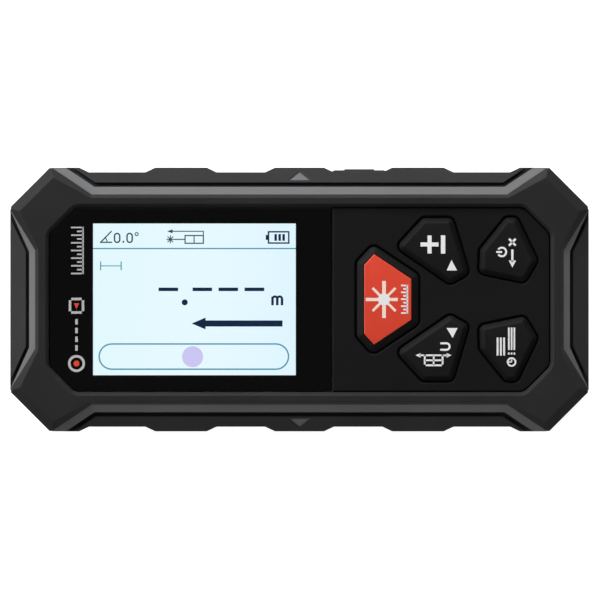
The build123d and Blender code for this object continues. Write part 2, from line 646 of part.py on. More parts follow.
with BuildPart() as display_window:
    with BuildSketch(Plane.XY.offset(window_low)):
        add(window_shape.sketch)
    extrude(amount=FACE_TOP - window_low)
    chamfer(display_window.faces().sort_by(Axis.Z)[-1].edges(), GLASS_BEVEL)
write(display_window.part, "display_window")

with BuildPart() as window_mask:
    with BuildSketch(Plane.XY.offset(DECK_TOP)):
        add(window_shape.sketch)
        with Locations((SCREEN_X, SCREEN_Y)):
            Rectangle(SCREEN_W, SCREEN_H, mode=Mode.SUBTRACT)
    extrude(amount=MASK)
write(window_mask.part, "window_mask")

with BuildPart() as keypad_panel:
    with BuildSketch(Plane.XY.offset(DECK_TOP)):
        add(face.sketch)
        with Locations((FACE_SPLIT_X + FACE_GAP / 2, 0)):
            Rectangle(LENGTH, WIDTH, align=(Align.MIN, Align.CENTER), mode=Mode.INTERSECT)
        for hole, _ in key_holes.values():
            add(hole, mode=Mode.SUBTRACT)
    extrude(amount=FACE_TOP - DECK_TOP)
    chamfer(keypad_panel.faces().sort_by(Axis.Z)[-1].edges(), PANEL_BEVEL)
write(keypad_panel.part, "keypad_panel")

with BuildPart() as keypad_mat:
    with BuildSketch(Plane.XY.offset(BOARD_TOP)):
        with Locations((MAT_X, 0)):
            RectangleRounded(MAT_LONG, MAT_WIDE, MAT_ROUND)
    extrude(amount=MAT_THICK)
    for _, place in key_holes.values():
        with BuildSketch(Plane.XY.offset(BOARD_TOP)):
            with Locations(place):
                Circle(PLUNGER + DOME_GAP + DOME_WALL)
        extrude(amount=DOME_TALL)
    for _, place in key_holes.values():
        with BuildSketch(Plane.XY.offset(BOARD_TOP)):
            with Locations(place):
                Circle(PLUNGER + DOME_GAP)
        extrude(amount=DOME_TALL, mode=Mode.SUBTRACT)
write(keypad_mat.part, "keypad_mat")

# ---------------------------------------------------------------- display
LEG = 3.0  # the light guide's frame stands on four legs
lcd_bottom = LCD_TOP - LCD_THICK
light_w, light_h = LCD_W - 0.8, LCD_H - 0.8

with BuildPart() as lcd_glass:
    with BuildSketch(Plane.XY.offset(lcd_bottom)):
        with Locations((LCD_X, 0)):
            Rectangle(LCD_W, LCD_H)
    extrude(amount=LCD_THICK)
write(lcd_glass.part, "lcd_glass")

with BuildPart() as lcd_backlight:
    with BuildSketch(Plane.XY.offset(lcd_bottom - LIGHT_THICK)):
        with Locations((LCD_X, 0)):
            Rectangle(light_w, light_h)
    extrude(amount=LIGHT_THICK)
    with BuildSketch(Plane.XY.offset(BOARD_TOP)):
        with Locations((LCD_X, 0)):
            with GridLocations(light_w - LEG, light_h - LEG, 2, 2):
                Rectangle(LEG, LEG)
    extrude(amount=lcd_bottom - LIGHT_THICK - BOARD_TOP)
write(lcd_backlight.part, "lcd_backlight")

lcd_edge = LCD_X + LCD_W / 2
flex_start, flex_bend, flex_end = lcd_edge - 0.4, lcd_edge + 1.0, lcd_edge + 3.0
flex_high, flex_thick, flex_wide = lcd_bottom - 0.6, 0.2, 12.0
with BuildPart() as lcd_flex:
    with BuildSketch(Plane.XZ.offset(-flex_wide / 2)):
        with BuildLine():
            Polyline(
                (flex_start, flex_high),
                (flex_bend, flex_high),
                (flex_bend, BOARD_TOP + flex_thick),
                (flex_end, BOARD_TOP + flex_thick),
                (flex_end, BOARD_TOP),
                (flex_bend - flex_thick, BOARD_TOP),
                (flex_bend - flex_thick, flex_high - flex_thick),
                (flex_start, flex_high - flex_thick),
                close=True,
            )
        make_face()
    extrude(amount=flex_wide)
write(lcd_flex.part, "lcd_flex")

# ---------------------------------------------------------------- main board and what is on it
with BuildPart() as main_board:
    with BuildSketch(Plane.XY.offset(BOARD_BOTTOM)):
        with BuildLine():
            Polyline(*cut_rectangle(BOARD_X, BOARD_Y, BOARD_CUT), close=True)
        make_face()
        with Locations(*BOARD_POSTS):
            Circle(BOARD_SCREW + SLIDE_FIT, mode=Mode.SUBTRACT)
    extrude(amount=BOARD_THICK)
write(main_board.part, "main_board")

CHIPS = [  # place, size and thickness
    (-8.0, 7.0, 9.0, 9.0, 1.0),
    (26.0, 8.0, 5.0, 5.0, 0.9),
    (37.0, -9.0, 4.0, 6.0, 1.1),
    (24.0, -6.0, 3.0, 3.0, 0.9),
]
with BuildPart() as board_chips:
    for x, y, wide, high, thick in CHIPS:
        with BuildSketch(Plane.XY.offset(BOARD_BOTTOM)):
            with Locations((x, y)):
                Rectangle(wide, high)
        extrude(amount=-thick)
write(board_chips.part, "board_chips")

with BuildPart() as buzzer:
    with BuildSketch(Plane.XY.offset(BOARD_BOTTOM)):
        with Locations((SOUND_X, SOUND_Y)):
            Circle(BUZZER)
    extrude(amount=-BUZZER_DEEP)
    with BuildSketch(Plane.XY.offset(BOARD_BOTTOM - BUZZER_DEEP)):
        with Locations((SOUND_X, SOUND_Y)):
            Circle(BUZZER_HOLE)
    extrude(amount=BUZZER_HOLE_DEEP, mode=Mode.SUBTRACT)
write(buzzer.part, "buzzer")

with BuildPart() as usb_socket:
    with BuildSketch(Plane.XZ.offset(-SOCKET_MOUTH_Y)):
        with Locations((USB_X, USB_Z)):
            SlotOverall(USB_W, USB_H)
    extrude(amount=USB_LONG)
    with BuildSketch(Plane.XZ.offset(-SOCKET_MOUTH_Y)):
        with Locations((USB_X, USB_Z)):
            SlotOverall(USB_W - 2 * SOCKET_WALL, USB_H - 2 * SOCKET_WALL)
    extrude(amount=USB_LONG - 1, mode=Mode.SUBTRACT)
    with BuildSketch(Plane.XZ.offset(TONGUE_BACK - SOCKET_MOUTH_Y)):
        with Locations((USB_X, USB_Z)):
            Rectangle(TONGUE_W, TONGUE_H)
    extrude(amount=USB_LONG - 2 * TONGUE_BACK)
write(usb_socket.part, "usb_socket")

with BuildPart() as board_screws:
    with BuildSketch(Plane.XY.offset(BOARD_BOTTOM)):
        with Locations(*BOARD_POSTS):
            Circle(BOARD_HEAD)
    extrude(amount=-SMALL_HEAD_THICK)
    with BuildSketch(Plane.XY.offset(BOARD_BOTTOM)):
        with Locations(*BOARD_POSTS):
            Circle(BOARD_SCREW)
    extrude(amount=BOARD_THICK + SCREW_BITE)
write(board_screws.part, "board_screws")

# ---------------------------------------------------------------- battery
with BuildPart() as battery_cell:
    with BuildSketch(Plane.YZ.offset(BATTERY_X[0])):
        with Locations((0, sum(BATTERY_Z) / 2)):
            RectangleRounded(2 * BATTERY_Y, BATTERY_Z[1] - BATTERY_Z[0], POUCH_ROUND)
    extrude(amount=BATTERY_X[1] - BATTERY_X[0])
write(battery_cell.part, "battery_cell")

with BuildPart() as battery_pad:
    with BuildSketch(Plane.XY.offset(FLOOR_Z)):
        with Locations((sum(BATTERY_X) / 2, 0)):
            Rectangle(BATTERY_X[1] - BATTERY_X[0] - 2 * PAD_MARGIN, 2 * (BATTERY_Y - PAD_MARGIN))
    extrude(amount=BATTERY_Z[0] - FLOOR_Z)
write(battery_pad.part, "battery_pad")

HEADER_X, HEADER_Y, HEADER_W, HEADER_H, HEADER_DEEP = 1.6, -10.6, 6.0, 3.8, 3.0
BATTERY_PLUG_W, BATTERY_PLUG_H, BATTERY_PLUG_DEEP = 5.0, 3.0, 2.6
LEAD_SPREAD = 1.2
LEADS = [("red", -LEAD_SPREAD, 6.4, 4.0), ("black", LEAD_SPREAD, 9.2, 3.0)]  # offset, height and bend radius
with BuildPart() as battery_header:
    with BuildSketch(Plane.XY.offset(BOARD_BOTTOM)):
        with Locations((HEADER_X, HEADER_Y)):
            Rectangle(HEADER_W, HEADER_H)
    extrude(amount=-HEADER_DEEP)
write(battery_header.part, "battery_header")

plug_low = BOARD_BOTTOM - HEADER_DEEP - BATTERY_PLUG_DEEP
with BuildPart() as battery_plug:
    with BuildSketch(Plane.XY.offset(plug_low)):
        with Locations((HEADER_X, HEADER_Y)):
            Rectangle(BATTERY_PLUG_W, BATTERY_PLUG_H)
    extrude(amount=BATTERY_PLUG_DEEP)
write(battery_plug.part, "battery_plug")

for name, across, lead_z, bend in LEADS:
    lead_x = HEADER_X + across
    with BuildPart() as battery_lead:
        with BuildLine(Plane.XZ.offset(-HEADER_Y)):
            FilletPolyline((lead_x, plug_low), (lead_x, lead_z), (BATTERY_X[0], lead_z), radius=bend)
        with BuildSketch(Plane((lead_x, HEADER_Y, plug_low), z_dir=(0, 0, -1))):
            Circle(WIRE)
        sweep()
    write(battery_lead.part, f"battery_lead_{name}")

# ---------------------------------------------------------------- optics at the laser end
with BuildPart() as optics_bezel:
    with BuildSketch(Plane.YZ.offset(BEZEL_FACE)):
        with Locations((BEZEL_Y, OPTIC_Z)):
            RectangleRounded(BEZEL_W, BEZEL_H, BEZEL_ROUND)
        with Locations((LENS_Y, OPTIC_Z)):
            Circle(LENS_HOLE, mode=Mode.SUBTRACT)
        with Locations((LASER_Y, OPTIC_Z)):
            Circle(LASER_HOLE, mode=Mode.SUBTRACT)
    extrude(amount=BEZEL_BACK - BEZEL_FACE)
    chamfer(optics_bezel.faces().sort_by(Axis.X)[0].edges(), BEZEL_BEVEL)
write(optics_bezel.part, "optics_bezel")

with BuildPart() as optics_window:
    with BuildSketch(Plane.YZ.offset(BEZEL_BACK)):
        with Locations((BEZEL_Y, OPTIC_Z)):
            RectangleRounded(OPTIC_WINDOW_W, OPTIC_WINDOW_H, BEZEL_ROUND - OPTIC_LEDGE - PRESS_FIT)
    extrude(amount=OPTIC_WINDOW_THICK)
write(optics_window.part, "optics_window")

TUNNEL, BARREL_SEAT, BARREL_END = 4.6, 0.6, -38.0
LENS_SEAT, BORE_STEP = 5.0, 0.6
wall_low, wall_high = CARRIER_WALL_Y
with BuildPart() as optics_carrier:
    with BuildSketch(Plane.XY.offset(CARRIER_LOW)):
        with Locations((CARRIER_FRONT, wall_low)):
            Rectangle(CARRIER_BACK - CARRIER_FRONT, wall_high - wall_low, align=(Align.MIN, Align.MIN))
    extrude(amount=CARRIER_HIGH - CARRIER_LOW)
    for x, y in CARRIER_EARS:
        with BuildSketch(Plane.XY.offset(CARRIER_LOW)):
            with Locations((x, y)):
                Circle(EAR)
            with Locations((x, y - math.copysign(ARM / 2, y))):
                Rectangle(2 * EAR, ARM)
        extrude(amount=EAR_THICK)
    with BuildSketch(Plane.YZ.offset(CARRIER_FRONT)):
        with Locations((LENS_Y, OPTIC_Z)):
            Circle(TUNNEL)
        with Locations((LASER_Y, OPTIC_Z)):
            Circle(BARREL - BORE_STEP)
    extrude(amount=CARRIER_BACK - CARRIER_FRONT, mode=Mode.SUBTRACT)
    with BuildSketch(Plane.YZ.offset(CARRIER_FRONT)):
        with Locations((LENS_Y, OPTIC_Z)):
            Circle(LENS_RADIUS)
    extrude(amount=LENS_SEAT, mode=Mode.SUBTRACT)
    with BuildSketch(Plane.YZ.offset(CARRIER_FRONT)):
        with Locations((LASER_Y, OPTIC_Z)):
            Circle(BARREL)
    extrude(amount=BARREL_END - CARRIER_FRONT, mode=Mode.SUBTRACT)
    with BuildSketch(Plane.XY.offset(CARRIER_LOW)):
        with Locations(*CARRIER_EARS):
            Circle(BOARD_SCREW + SLIDE_FIT)
    extrude(amount=EAR_THICK, mode=Mode.SUBTRACT)
write(optics_carrier.part, "optics_carrier")

LENS_EDGE, LENS_CROWN = 2.4, 1.6
lens_back = CARRIER_FRONT + LENS_SEAT
lens_front, lens_rim = lens_back - LENS_EDGE, LENS_RADIUS - PRESS_FIT
with BuildPart() as receiver_lens:
    with BuildSketch(Plane.XY.offset(OPTIC_Z)):
        with BuildLine():
            SagittaArc((lens_front, LENS_Y + lens_rim), (lens_front, LENS_Y - lens_rim), -LENS_CROWN)
            Polyline(
                (lens_front, LENS_Y - lens_rim),
                (lens_back, LENS_Y - lens_rim),
                (lens_back, LENS_Y + lens_rim),
                (lens_front, LENS_Y + lens_rim),
            )
        make_face()
        with Locations((lens_back, LENS_Y)):
            Rectangle(2 * LENS_RADIUS, 2 * LENS_RADIUS, align=(Align.CENTER, Align.MIN), mode=Mode.INTERSECT)
    revolve(axis=Axis((lens_back, LENS_Y, OPTIC_Z), (1, 0, 0)))
write(receiver_lens.part, "receiver_lens")


def round_part(name, x_from, x_to, y, outer, inner=0.0):
    """A turned piece along the optical axis, hollow where it has an inner radius."""
    with BuildPart() as turned:
        with BuildSketch(Plane.YZ.offset(x_from)):
            with Locations((y, OPTIC_Z)):
                Circle(outer)
                if inner:
                    Circle(inner, mode=Mode.SUBTRACT)
        extrude(amount=x_to - x_from)
    write(turned.part, name)


barrel_front, barrel_bore = CARRIER_FRONT + BARREL_SEAT, BARREL - 0.7
round_part("laser_barrel", barrel_front, BARREL_END, LASER_Y, BARREL - PRESS_FIT, barrel_bore)
round_part("collimator_lens", barrel_front + 0.8, barrel_front + 2.6, LASER_Y, barrel_bore - PRESS_FIT)
round_part("laser_diode", BARREL_END - 3.0, BARREL_END - 0.4, LASER_Y, barrel_bore - PRESS_FIT)
round_part("apd_sensor", CARRIER_BACK - 3.0, CARRIER_BACK, LENS_Y, 2.3)

APD_BOARD_W, APD_BOARD_H = 12.6, 12.4
with BuildPart() as apd_board:
    with BuildSketch(Plane.YZ.offset(CARRIER_BACK)):
        with Locations((LENS_Y, OPTIC_Z)):
            Rectangle(APD_BOARD_W, APD_BOARD_H)
    extrude(amount=BOARD_THICK)
write(apd_board.part, "apd_board")

with BuildPart() as optics_screws:
    with BuildSketch(Plane.XY.offset(CARRIER_LOW + EAR_THICK)):
        with Locations(*CARRIER_EARS):
            Circle(BOARD_HEAD)
    extrude(amount=SMALL_HEAD_THICK)
    with BuildSketch(Plane.XY.offset(CARRIER_LOW + EAR_THICK)):
        with Locations(*CARRIER_EARS):
            Circle(BOARD_SCREW)
    extrude(amount=-(EAR_THICK + SCREW_BITE))
write(optics_screws.part, "optics_screws")

DRIVE_LONG, DRIVE_WIDE, DRIVE_DEEP = 2.4, 0.55, 0.9  # cross recess of the case screws
with BuildPart() as case_screws:
    with BuildSketch(Plane.XY.offset(HEAD_SEAT)):
        with Locations(*CASE_SCREWS):
            Circle(CASE_HEAD)
    extrude(amount=-HEAD_THICK)
    with BuildSketch(Plane.XY.offset(HEAD_SEAT)):
        with Locations(*CASE_SCREWS):
            Circle(CASE_SCREW)
    extrude(amount=CASE_SCREW_LONG)
    with BuildSketch(Plane.XY.offset(HEAD_SEAT - HEAD_THICK)):
        with Locations(*CASE_SCREWS):
            Rectangle(DRIVE_LONG, DRIVE_WIDE)
            Rectangle(DRIVE_WIDE, DRIVE_LONG)
    extrude(amount=DRIVE_DEEP, mode=Mode.SUBTRACT)
write(case_screws.part, "case_screws")

# ---------------------------------------------------------------- cover of the charging socket
PLUG_W, PLUG_H, PLUG_ROUND, PLUG_IN = 8.6, 2.9, 1.2, 22.9
COVER_BEVEL = 0.35
with BuildPart() as usb_cover:
    with BuildSketch(Plane.XZ.offset(-COVER_OUT)):
        with Locations((USB_X, COVER_LOW)):
            Rectangle(COVER_W, COVER_HIGH - COVER_LOW, align=(Align.CENTER, Align.MIN))
    extrude(amount=COVER_OUT - COVER_IN)
    outer_face = usb_cover.faces().sort_by(Axis.Y)[-1]
    upper_edges = outer_face.edges().sort_by(Axis.Z)[-3:]
    chamfer(upper_edges, COVER_BEVEL)
    with BuildSketch(Plane.YZ.offset(USB_X - COVER_W / 2)):
        with Locations((AXIS_Y, COVER_LOW)):
            Circle(BEAD)
    extrude(amount=COVER_W)
    with BuildSketch(Plane.XZ.offset(-COVER_IN)):
        with Locations((USB_X, USB_Z)):
            RectangleRounded(PLUG_W, PLUG_H, PLUG_ROUND)
    extrude(amount=COVER_IN - PLUG_IN)
write(usb_cover.part, "usb_cover")
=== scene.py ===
# %% [markdown]
# # A laser distance meter, finished around its fixed frame
# The frame holds every solid of the meter at its real size. This notebook adds what a frame can't hold: soft
# edges on the keys, a lit display with its symbols, printed signs, and the finish of each material. It starts
# by loading the frame and measuring it, so that the heights below come from the frame's own nodes.

# %% Load the frame
import math

import bmesh
import bpy
from mathutils import Matrix, Vector


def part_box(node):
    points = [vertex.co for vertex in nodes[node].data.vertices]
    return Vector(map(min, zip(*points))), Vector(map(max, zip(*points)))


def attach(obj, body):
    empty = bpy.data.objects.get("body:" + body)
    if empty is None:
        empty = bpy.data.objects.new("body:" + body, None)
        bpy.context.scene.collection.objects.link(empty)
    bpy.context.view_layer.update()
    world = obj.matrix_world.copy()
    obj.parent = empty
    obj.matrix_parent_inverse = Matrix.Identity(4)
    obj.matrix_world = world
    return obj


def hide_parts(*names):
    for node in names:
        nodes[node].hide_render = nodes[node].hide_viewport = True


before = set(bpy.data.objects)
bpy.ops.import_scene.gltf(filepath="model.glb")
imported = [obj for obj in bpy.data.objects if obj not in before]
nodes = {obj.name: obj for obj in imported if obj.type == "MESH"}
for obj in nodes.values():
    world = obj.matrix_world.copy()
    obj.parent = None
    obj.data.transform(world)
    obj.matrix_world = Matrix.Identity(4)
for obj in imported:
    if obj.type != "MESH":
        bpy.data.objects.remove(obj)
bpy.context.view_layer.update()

# %% [markdown]
# ## Units and places
# The frame is in metres and a hand tool is easier to think about in millimetres. Every size could be written
# in metres, with many zeros. Here the sketches are drawn in millimetres and scaled once, when a mesh is
# written. The heights of the window, the keys and the display are measured, so the symbols sit on them.

# %% Read the heights that the symbols lie on
MM = 0.001


def millimetres(node):
    """Lowest and highest corner of a node, in millimetres."""
    low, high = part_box(node)
    return low / MM, high / MM


def top_of(node):
    """Height of a node's highest point, in millimetres."""
    return millimetres(node)[1].z


window_top = top_of("display_window")
display_top = top_of("lcd_glass")
key_top = top_of("key_plus_minus")
cap_top = top_of("key_measure_cap")
print("window top", round(window_top, 2), "key top", round(key_top, 2), "cap top", round(cap_top, 2))

# %% [markdown]
# ## Finishes
# Moulded rubber, moulded plastic and turned brass differ in three things: how the fine grain breaks up a
# reflection, how the colour drifts a little over a hand's breadth, and how round the edges came out of the
# mould. Each material could be built by hand, node by node, but one helper keeps them alike. It makes the
# first two from noises on Object coordinates, so the grain has a real size and doesn't stretch with the mesh.
# It makes the third with a Bevel node, which turns the normals near an edge and leaves the frame's solids as
# they are. The same node paints the edges paler, partly as wear and partly as a painted highlight. Whatever is
# the same all over is set on the shader's own sockets.

# %% The nodes that every finish is built from
NOISE_RANGE = (0.3, 0.7)  # a noise rarely leaves this range


def new_material(name, metallic=0.0, specular=0.5, coat=0.0, coat_roughness=0.1):
    """A named material with its shader, and the node that gives Object coordinates."""
    material = bpy.data.materials.new(name)
    material.use_nodes = True
    shader = material.node_tree.nodes["Principled BSDF"]
    shader.inputs["Metallic"].default_value = metallic
    shader.inputs["Specular IOR Level"].default_value = specular
    shader.inputs["Coat Weight"].default_value = coat
    shader.inputs["Coat Roughness"].default_value = coat_roughness
    place = material.node_tree.nodes.new("ShaderNodeTexCoord")
    return material, shader, place


def noise_of(material, place, size_mm, detail=3.0):
    """A noise whose blobs are about size_mm across."""
    noise = material.node_tree.nodes.new("ShaderNodeTexNoise")
    noise.inputs["Scale"].default_value = 1.0 / (size_mm * MM)
    noise.inputs["Detail"].default_value = detail
    material.node_tree.links.new(place.outputs["Object"], noise.inputs["Vector"])
    return noise


def spread(material, noise, low, high):
    """The noise mapped onto the range from low to high."""
    ranger = material.node_tree.nodes.new("ShaderNodeMapRange")
    ranger.inputs["From Min"].default_value, ranger.inputs["From Max"].default_value = NOISE_RANGE
    ranger.inputs["To Min"].default_value = low
    ranger.inputs["To Max"].default_value = high
    material.node_tree.links.new(noise.outputs["Fac"], ranger.inputs["Value"])
    return ranger


def mixed(tree, factor, first, second):
    """A colour between two colours, by a factor that comes from another node."""
    mix = tree.nodes.new("ShaderNodeMix")
    mix.data_type = "RGBA"
    mix.inputs["A"].default_value = (*first, 1.0)
    mix.inputs["B"].default_value = (*second, 1.0)
    tree.links.new(factor, mix.inputs["Factor"])
    return mix


print("noises are mapped from", NOISE_RANGE)


# %% A finish with grain, drift and rounded edges
EDGE_SAMPLES = 6  # more samples round an edge more evenly and cost time
BEND_START, BEND_FULL = 0.995, 0.90  # cosines of the normal's turn where the paler edge (wear and painted highlight) starts and where it is full
EDGE_PALING_GAIN = 2.2  # how much paler an edge is, as wear and as painted highlight


def moulded(
    name, dark, light, grain_mm, grain_depth_mm, rough, drift_mm=14.0, edge_mm=0.1, wear_and_highlight=0.0, **shader_settings
):
    """Grain, a slow drift of colour, and rounded edges painted paler by as much as wear_and_highlight: partly
    wear, partly a painted highlight.
    """
    material, shader, place = new_material(name, **shader_settings)
    tree, links = material.node_tree, material.node_tree.links
    edge = tree.nodes.new("ShaderNodeBevel")
    edge.samples = EDGE_SAMPLES
    edge.inputs["Radius"].default_value = edge_mm * MM

    drift = noise_of(material, place, drift_mm)
    colour = mixed(tree, spread(material, drift, 0.0, 1.0).outputs["Result"], dark, light)
    # Edges are painted paler where the Bevel normal turns from the true one: partly wear, partly a painted
    # highlight.
    if wear_and_highlight:
        surface = tree.nodes.new("ShaderNodeNewGeometry")
        bend = tree.nodes.new("ShaderNodeVectorMath")
        bend.operation = "DOT_PRODUCT"
        links.new(edge.outputs["Normal"], bend.inputs[0])
        links.new(surface.outputs["Normal"], bend.inputs[1])
        edge_paling = tree.nodes.new("ShaderNodeMapRange")
        edge_paling.inputs["From Min"].default_value = BEND_START
        edge_paling.inputs["From Max"].default_value = BEND_FULL
        edge_paling.inputs["To Max"].default_value = wear_and_highlight
        links.new(bend.outputs["Value"], edge_paling.inputs["Value"])
        pale = [min(1.0, EDGE_PALING_GAIN * channel) for channel in light]
        worn_and_lit = mixed(tree, edge_paling.outputs["Result"], light, pale)
        links.new(colour.outputs["Result"], worn_and_lit.inputs["A"])
        colour = worn_and_lit
    links.new(colour.outputs["Result"], shader.inputs["Base Color"])

    grain = noise_of(material, place, grain_mm, detail=2.0)
    links.new(spread(material, grain, *rough).outputs["Result"], shader.inputs["Roughness"])
    bump = tree.nodes.new("ShaderNodeBump")
    bump.inputs["Distance"].default_value = grain_depth_mm * MM
    links.new(grain.outputs["Fac"], bump.inputs["Height"])
    links.new(edge.outputs["Normal"], bump.inputs["Normal"])
    links.new(bump.outputs["Normal"], shader.inputs["Normal"])
    return material


# %% Finishes of the outside
# The rubber's and the shell's edges are painted paler: partly wear, partly a painted highlight.
rubber = moulded(
    "armour_rubber", (0.0140, 0.0140, 0.0150), (0.0185, 0.0185, 0.0195), 0.22, 0.010, (0.45, 0.62),
    edge_mm=0.35, wear_and_highlight=0.5, specular=0.16,
)
shell_plastic = moulded(
    "shell_plastic", (0.094, 0.095, 0.098), (0.108, 0.109, 0.112), 0.30, 0.006, (0.42, 0.56),
    edge_mm=0.12, wear_and_highlight=0.25, specular=0.35,
)
panel_plastic = moulded(
    "panel_plastic", (0.0045, 0.0045, 0.0048), (0.0060, 0.0060, 0.0063), 0.16, 0.005, (0.40, 0.54),
    specular=0.15,
)
key_rubber = moulded(
    "key_rubber", (0.0060, 0.0060, 0.0064), (0.0080, 0.0080, 0.0084), 0.18, 0.006, (0.48, 0.62),
    edge_mm=0.25, specular=0.10,
)
cap_plastic = moulded("cap_plastic", (0.60, 0.045, 0.020), (0.66, 0.055, 0.026), 0.25, 0.003, (0.30, 0.42))
silicone = moulded("silicone", (0.05, 0.05, 0.054), (0.07, 0.07, 0.075), 0.30, 0.006, (0.5, 0.7))


def printed(name, dark, light):
    """A matt printing ink."""
    return moulded(name, dark, light, 0.12, 0.001, (0.5, 0.6), edge_mm=0.01)


print_white = printed("print_white", (0.70, 0.70, 0.70), (0.77, 0.77, 0.77))
print_pink = printed("print_pink", (0.80, 0.62, 0.54), (0.86, 0.68, 0.60))
print_grey = printed("print_grey", (0.36, 0.36, 0.37), (0.44, 0.44, 0.45))
# A painted highlight: the thin grey line of the lamp's gleam on the glass's polished edge.
painted_edge_highlight = moulded(
    "painted_edge_highlight", (0.020, 0.021, 0.022), (0.028, 0.029, 0.030), 0.3, 0.001, (0.2, 0.3), edge_mm=0.02
)
print("outside finishes", [m.name for m in bpy.data.materials])

# %% [markdown]
# ## Keys with really round edges
# The keys and the red cap are touched most, and a finger feels their edges. A Bevel node could fake the round,
# but these edges are large enough to show in the outline. So a copy of each solid is merged into a closed skin,
# its flat triangles are dissolved back into whole faces, and a Bevel modifier rounds what is left. The copy
# stands for the solid, which stays in the frame unseen.

# %% Copy a solid and round its edges
WELD_MM = 0.002  # corners of loose triangles closer than this are one
FLAT_DEGREES, SHARP_DEGREES = 0.6, 24.0  # triangles this flat are one face, and edges this sharp are rounded
ROUND_SEGMENTS = 3


def softened(node, radius_mm, finish, body):
    """A copy of a node with rounded edges, which replaces it."""
    sketch = bmesh.new()
    sketch.from_mesh(nodes[node].data)
    bmesh.ops.remove_doubles(sketch, verts=sketch.verts, dist=WELD_MM * MM)
    bmesh.ops.dissolve_limit(
        sketch, angle_limit=math.radians(FLAT_DEGREES), verts=sketch.verts, edges=sketch.edges
    )
    for face in sketch.faces:
        face.smooth = True
    mesh = bpy.data.meshes.new(f"{node}_soft")
    sketch.to_mesh(mesh)
    sketch.free()
    mesh.materials.clear()
    mesh.materials.append(finish)
    piece = bpy.data.objects.new(f"{node}_soft", mesh)
    bpy.context.scene.collection.objects.link(piece)
    bevel = piece.modifiers.new("mould_radius", "BEVEL")
    bevel.width = radius_mm * MM
    bevel.segments = ROUND_SEGMENTS
    bevel.limit_method = "ANGLE"
    bevel.angle_limit = math.radians(SHARP_DEGREES)
    bevel.harden_normals = True
    bevel.use_clamp_overlap = False
    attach(piece, body)
    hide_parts(node)
    return piece


KEY_ROUND, CAP_ROUND = 0.12, 0.06
for key in ("measure", "plus_minus", "area_unit", "off_clear", "fun_record"):
    softened(f"key_{key}", KEY_ROUND, key_rubber, f"{key}_key")
softened("key_measure_cap", CAP_ROUND, cap_plastic, "measure_key")

# %% [markdown]
# ## Finishes of the frame's own solids
# A solid whose shape is already right needs no copy: it keeps its mesh and only takes a finish. Glass is the
# one finish that lets light through, so it has a helper of its own. Faint smears vary its roughness.

# %% Two helpers: paint and glass
SMEAR_MM, SMEAR_ROUGHNESS = 9.0, 0.015


def paint(finish, *names):
    """Puts one finish on several of the frame's nodes."""
    for name in names:
        nodes[name].data.materials.clear()
        nodes[name].data.materials.append(finish)


def clear_glass(name, tint, ior=1.5):
    """Polished glass that lets the part behind it show."""
    material, shader, place = new_material(name)
    shader.inputs["Base Color"].default_value = (*tint, 1.0)
    shader.inputs["Transmission Weight"].default_value = 1.0
    shader.inputs["IOR"].default_value = ior
    shader.inputs["Specular IOR Level"].default_value = 0.5
    smears = noise_of(material, place, SMEAR_MM)
    ranger = spread(material, smears, 0.0, SMEAR_ROUGHNESS)
    material.node_tree.links.new(ranger.outputs["Result"], shader.inputs["Roughness"])
    return material


cover_glass = clear_glass("cover_glass", (1.0, 1.0, 1.0))
lens_glass = clear_glass("lens_glass", (0.93, 0.86, 0.90), ior=1.6)
print("glass", cover_glass.name, lens_glass.name)

# %% Finishes of the inside and of the small parts
mask_ink = moulded(
    "mask_ink", (0.018, 0.018, 0.019), (0.030, 0.030, 0.032), 0.5, 0.001, (0.3, 0.4), drift_mm=60.0
)
bezel_gloss = moulded("bezel_gloss", (0.006, 0.006, 0.007), (0.009, 0.009, 0.010), 0.5, 0.001, (0.12, 0.2))
brass = moulded("brass", (0.62, 0.43, 0.18), (0.70, 0.50, 0.22), 0.12, 0.003, (0.22, 0.34), metallic=1.0)
steel = moulded("steel", (0.50, 0.50, 0.51), (0.60, 0.60, 0.61), 0.15, 0.003, (0.25, 0.38), metallic=1.0)
black_steel = moulded(
    "black_steel", (0.05, 0.05, 0.052), (0.08, 0.08, 0.083), 0.15, 0.004, (0.32, 0.45), metallic=1.0
)
board_mask = moulded("board_mask", (0.010, 0.085, 0.040), (0.014, 0.110, 0.052), 0.6, 0.004, (0.3, 0.45))
white_plastic = moulded("white_plastic", (0.72, 0.72, 0.70), (0.80, 0.80, 0.78), 0.3, 0.004, (0.4, 0.5))
chip_epoxy = moulded("chip_epoxy", (0.018, 0.018, 0.018), (0.026, 0.026, 0.026), 0.2, 0.004, (0.5, 0.65))
pouch_foil = moulded("pouch_foil", (0.42, 0.44, 0.47), (0.50, 0.52, 0.55), 1.2, 0.02, (0.35, 0.5), metallic=0.6)
film_amber = moulded("film_amber", (0.55, 0.25, 0.05), (0.62, 0.30, 0.06), 0.4, 0.003, (0.25, 0.4))
red_sleeve = moulded("red_sleeve", (0.50, 0.02, 0.02), (0.56, 0.03, 0.03), 0.3, 0.003, (0.4, 0.5))
black_sleeve = moulded("black_sleeve", (0.015, 0.015, 0.015), (0.02, 0.02, 0.02), 0.3, 0.003, (0.4, 0.5))
label_film = moulded("label_film", (0.30, 0.30, 0.31), (0.34, 0.34, 0.35), 0.5, 0.002, (0.35, 0.5))
carbon = moulded("carbon", (0.010, 0.010, 0.010), (0.016, 0.016, 0.016), 0.2, 0.004, (0.6, 0.75))
print("finishes so far", len(bpy.data.materials))

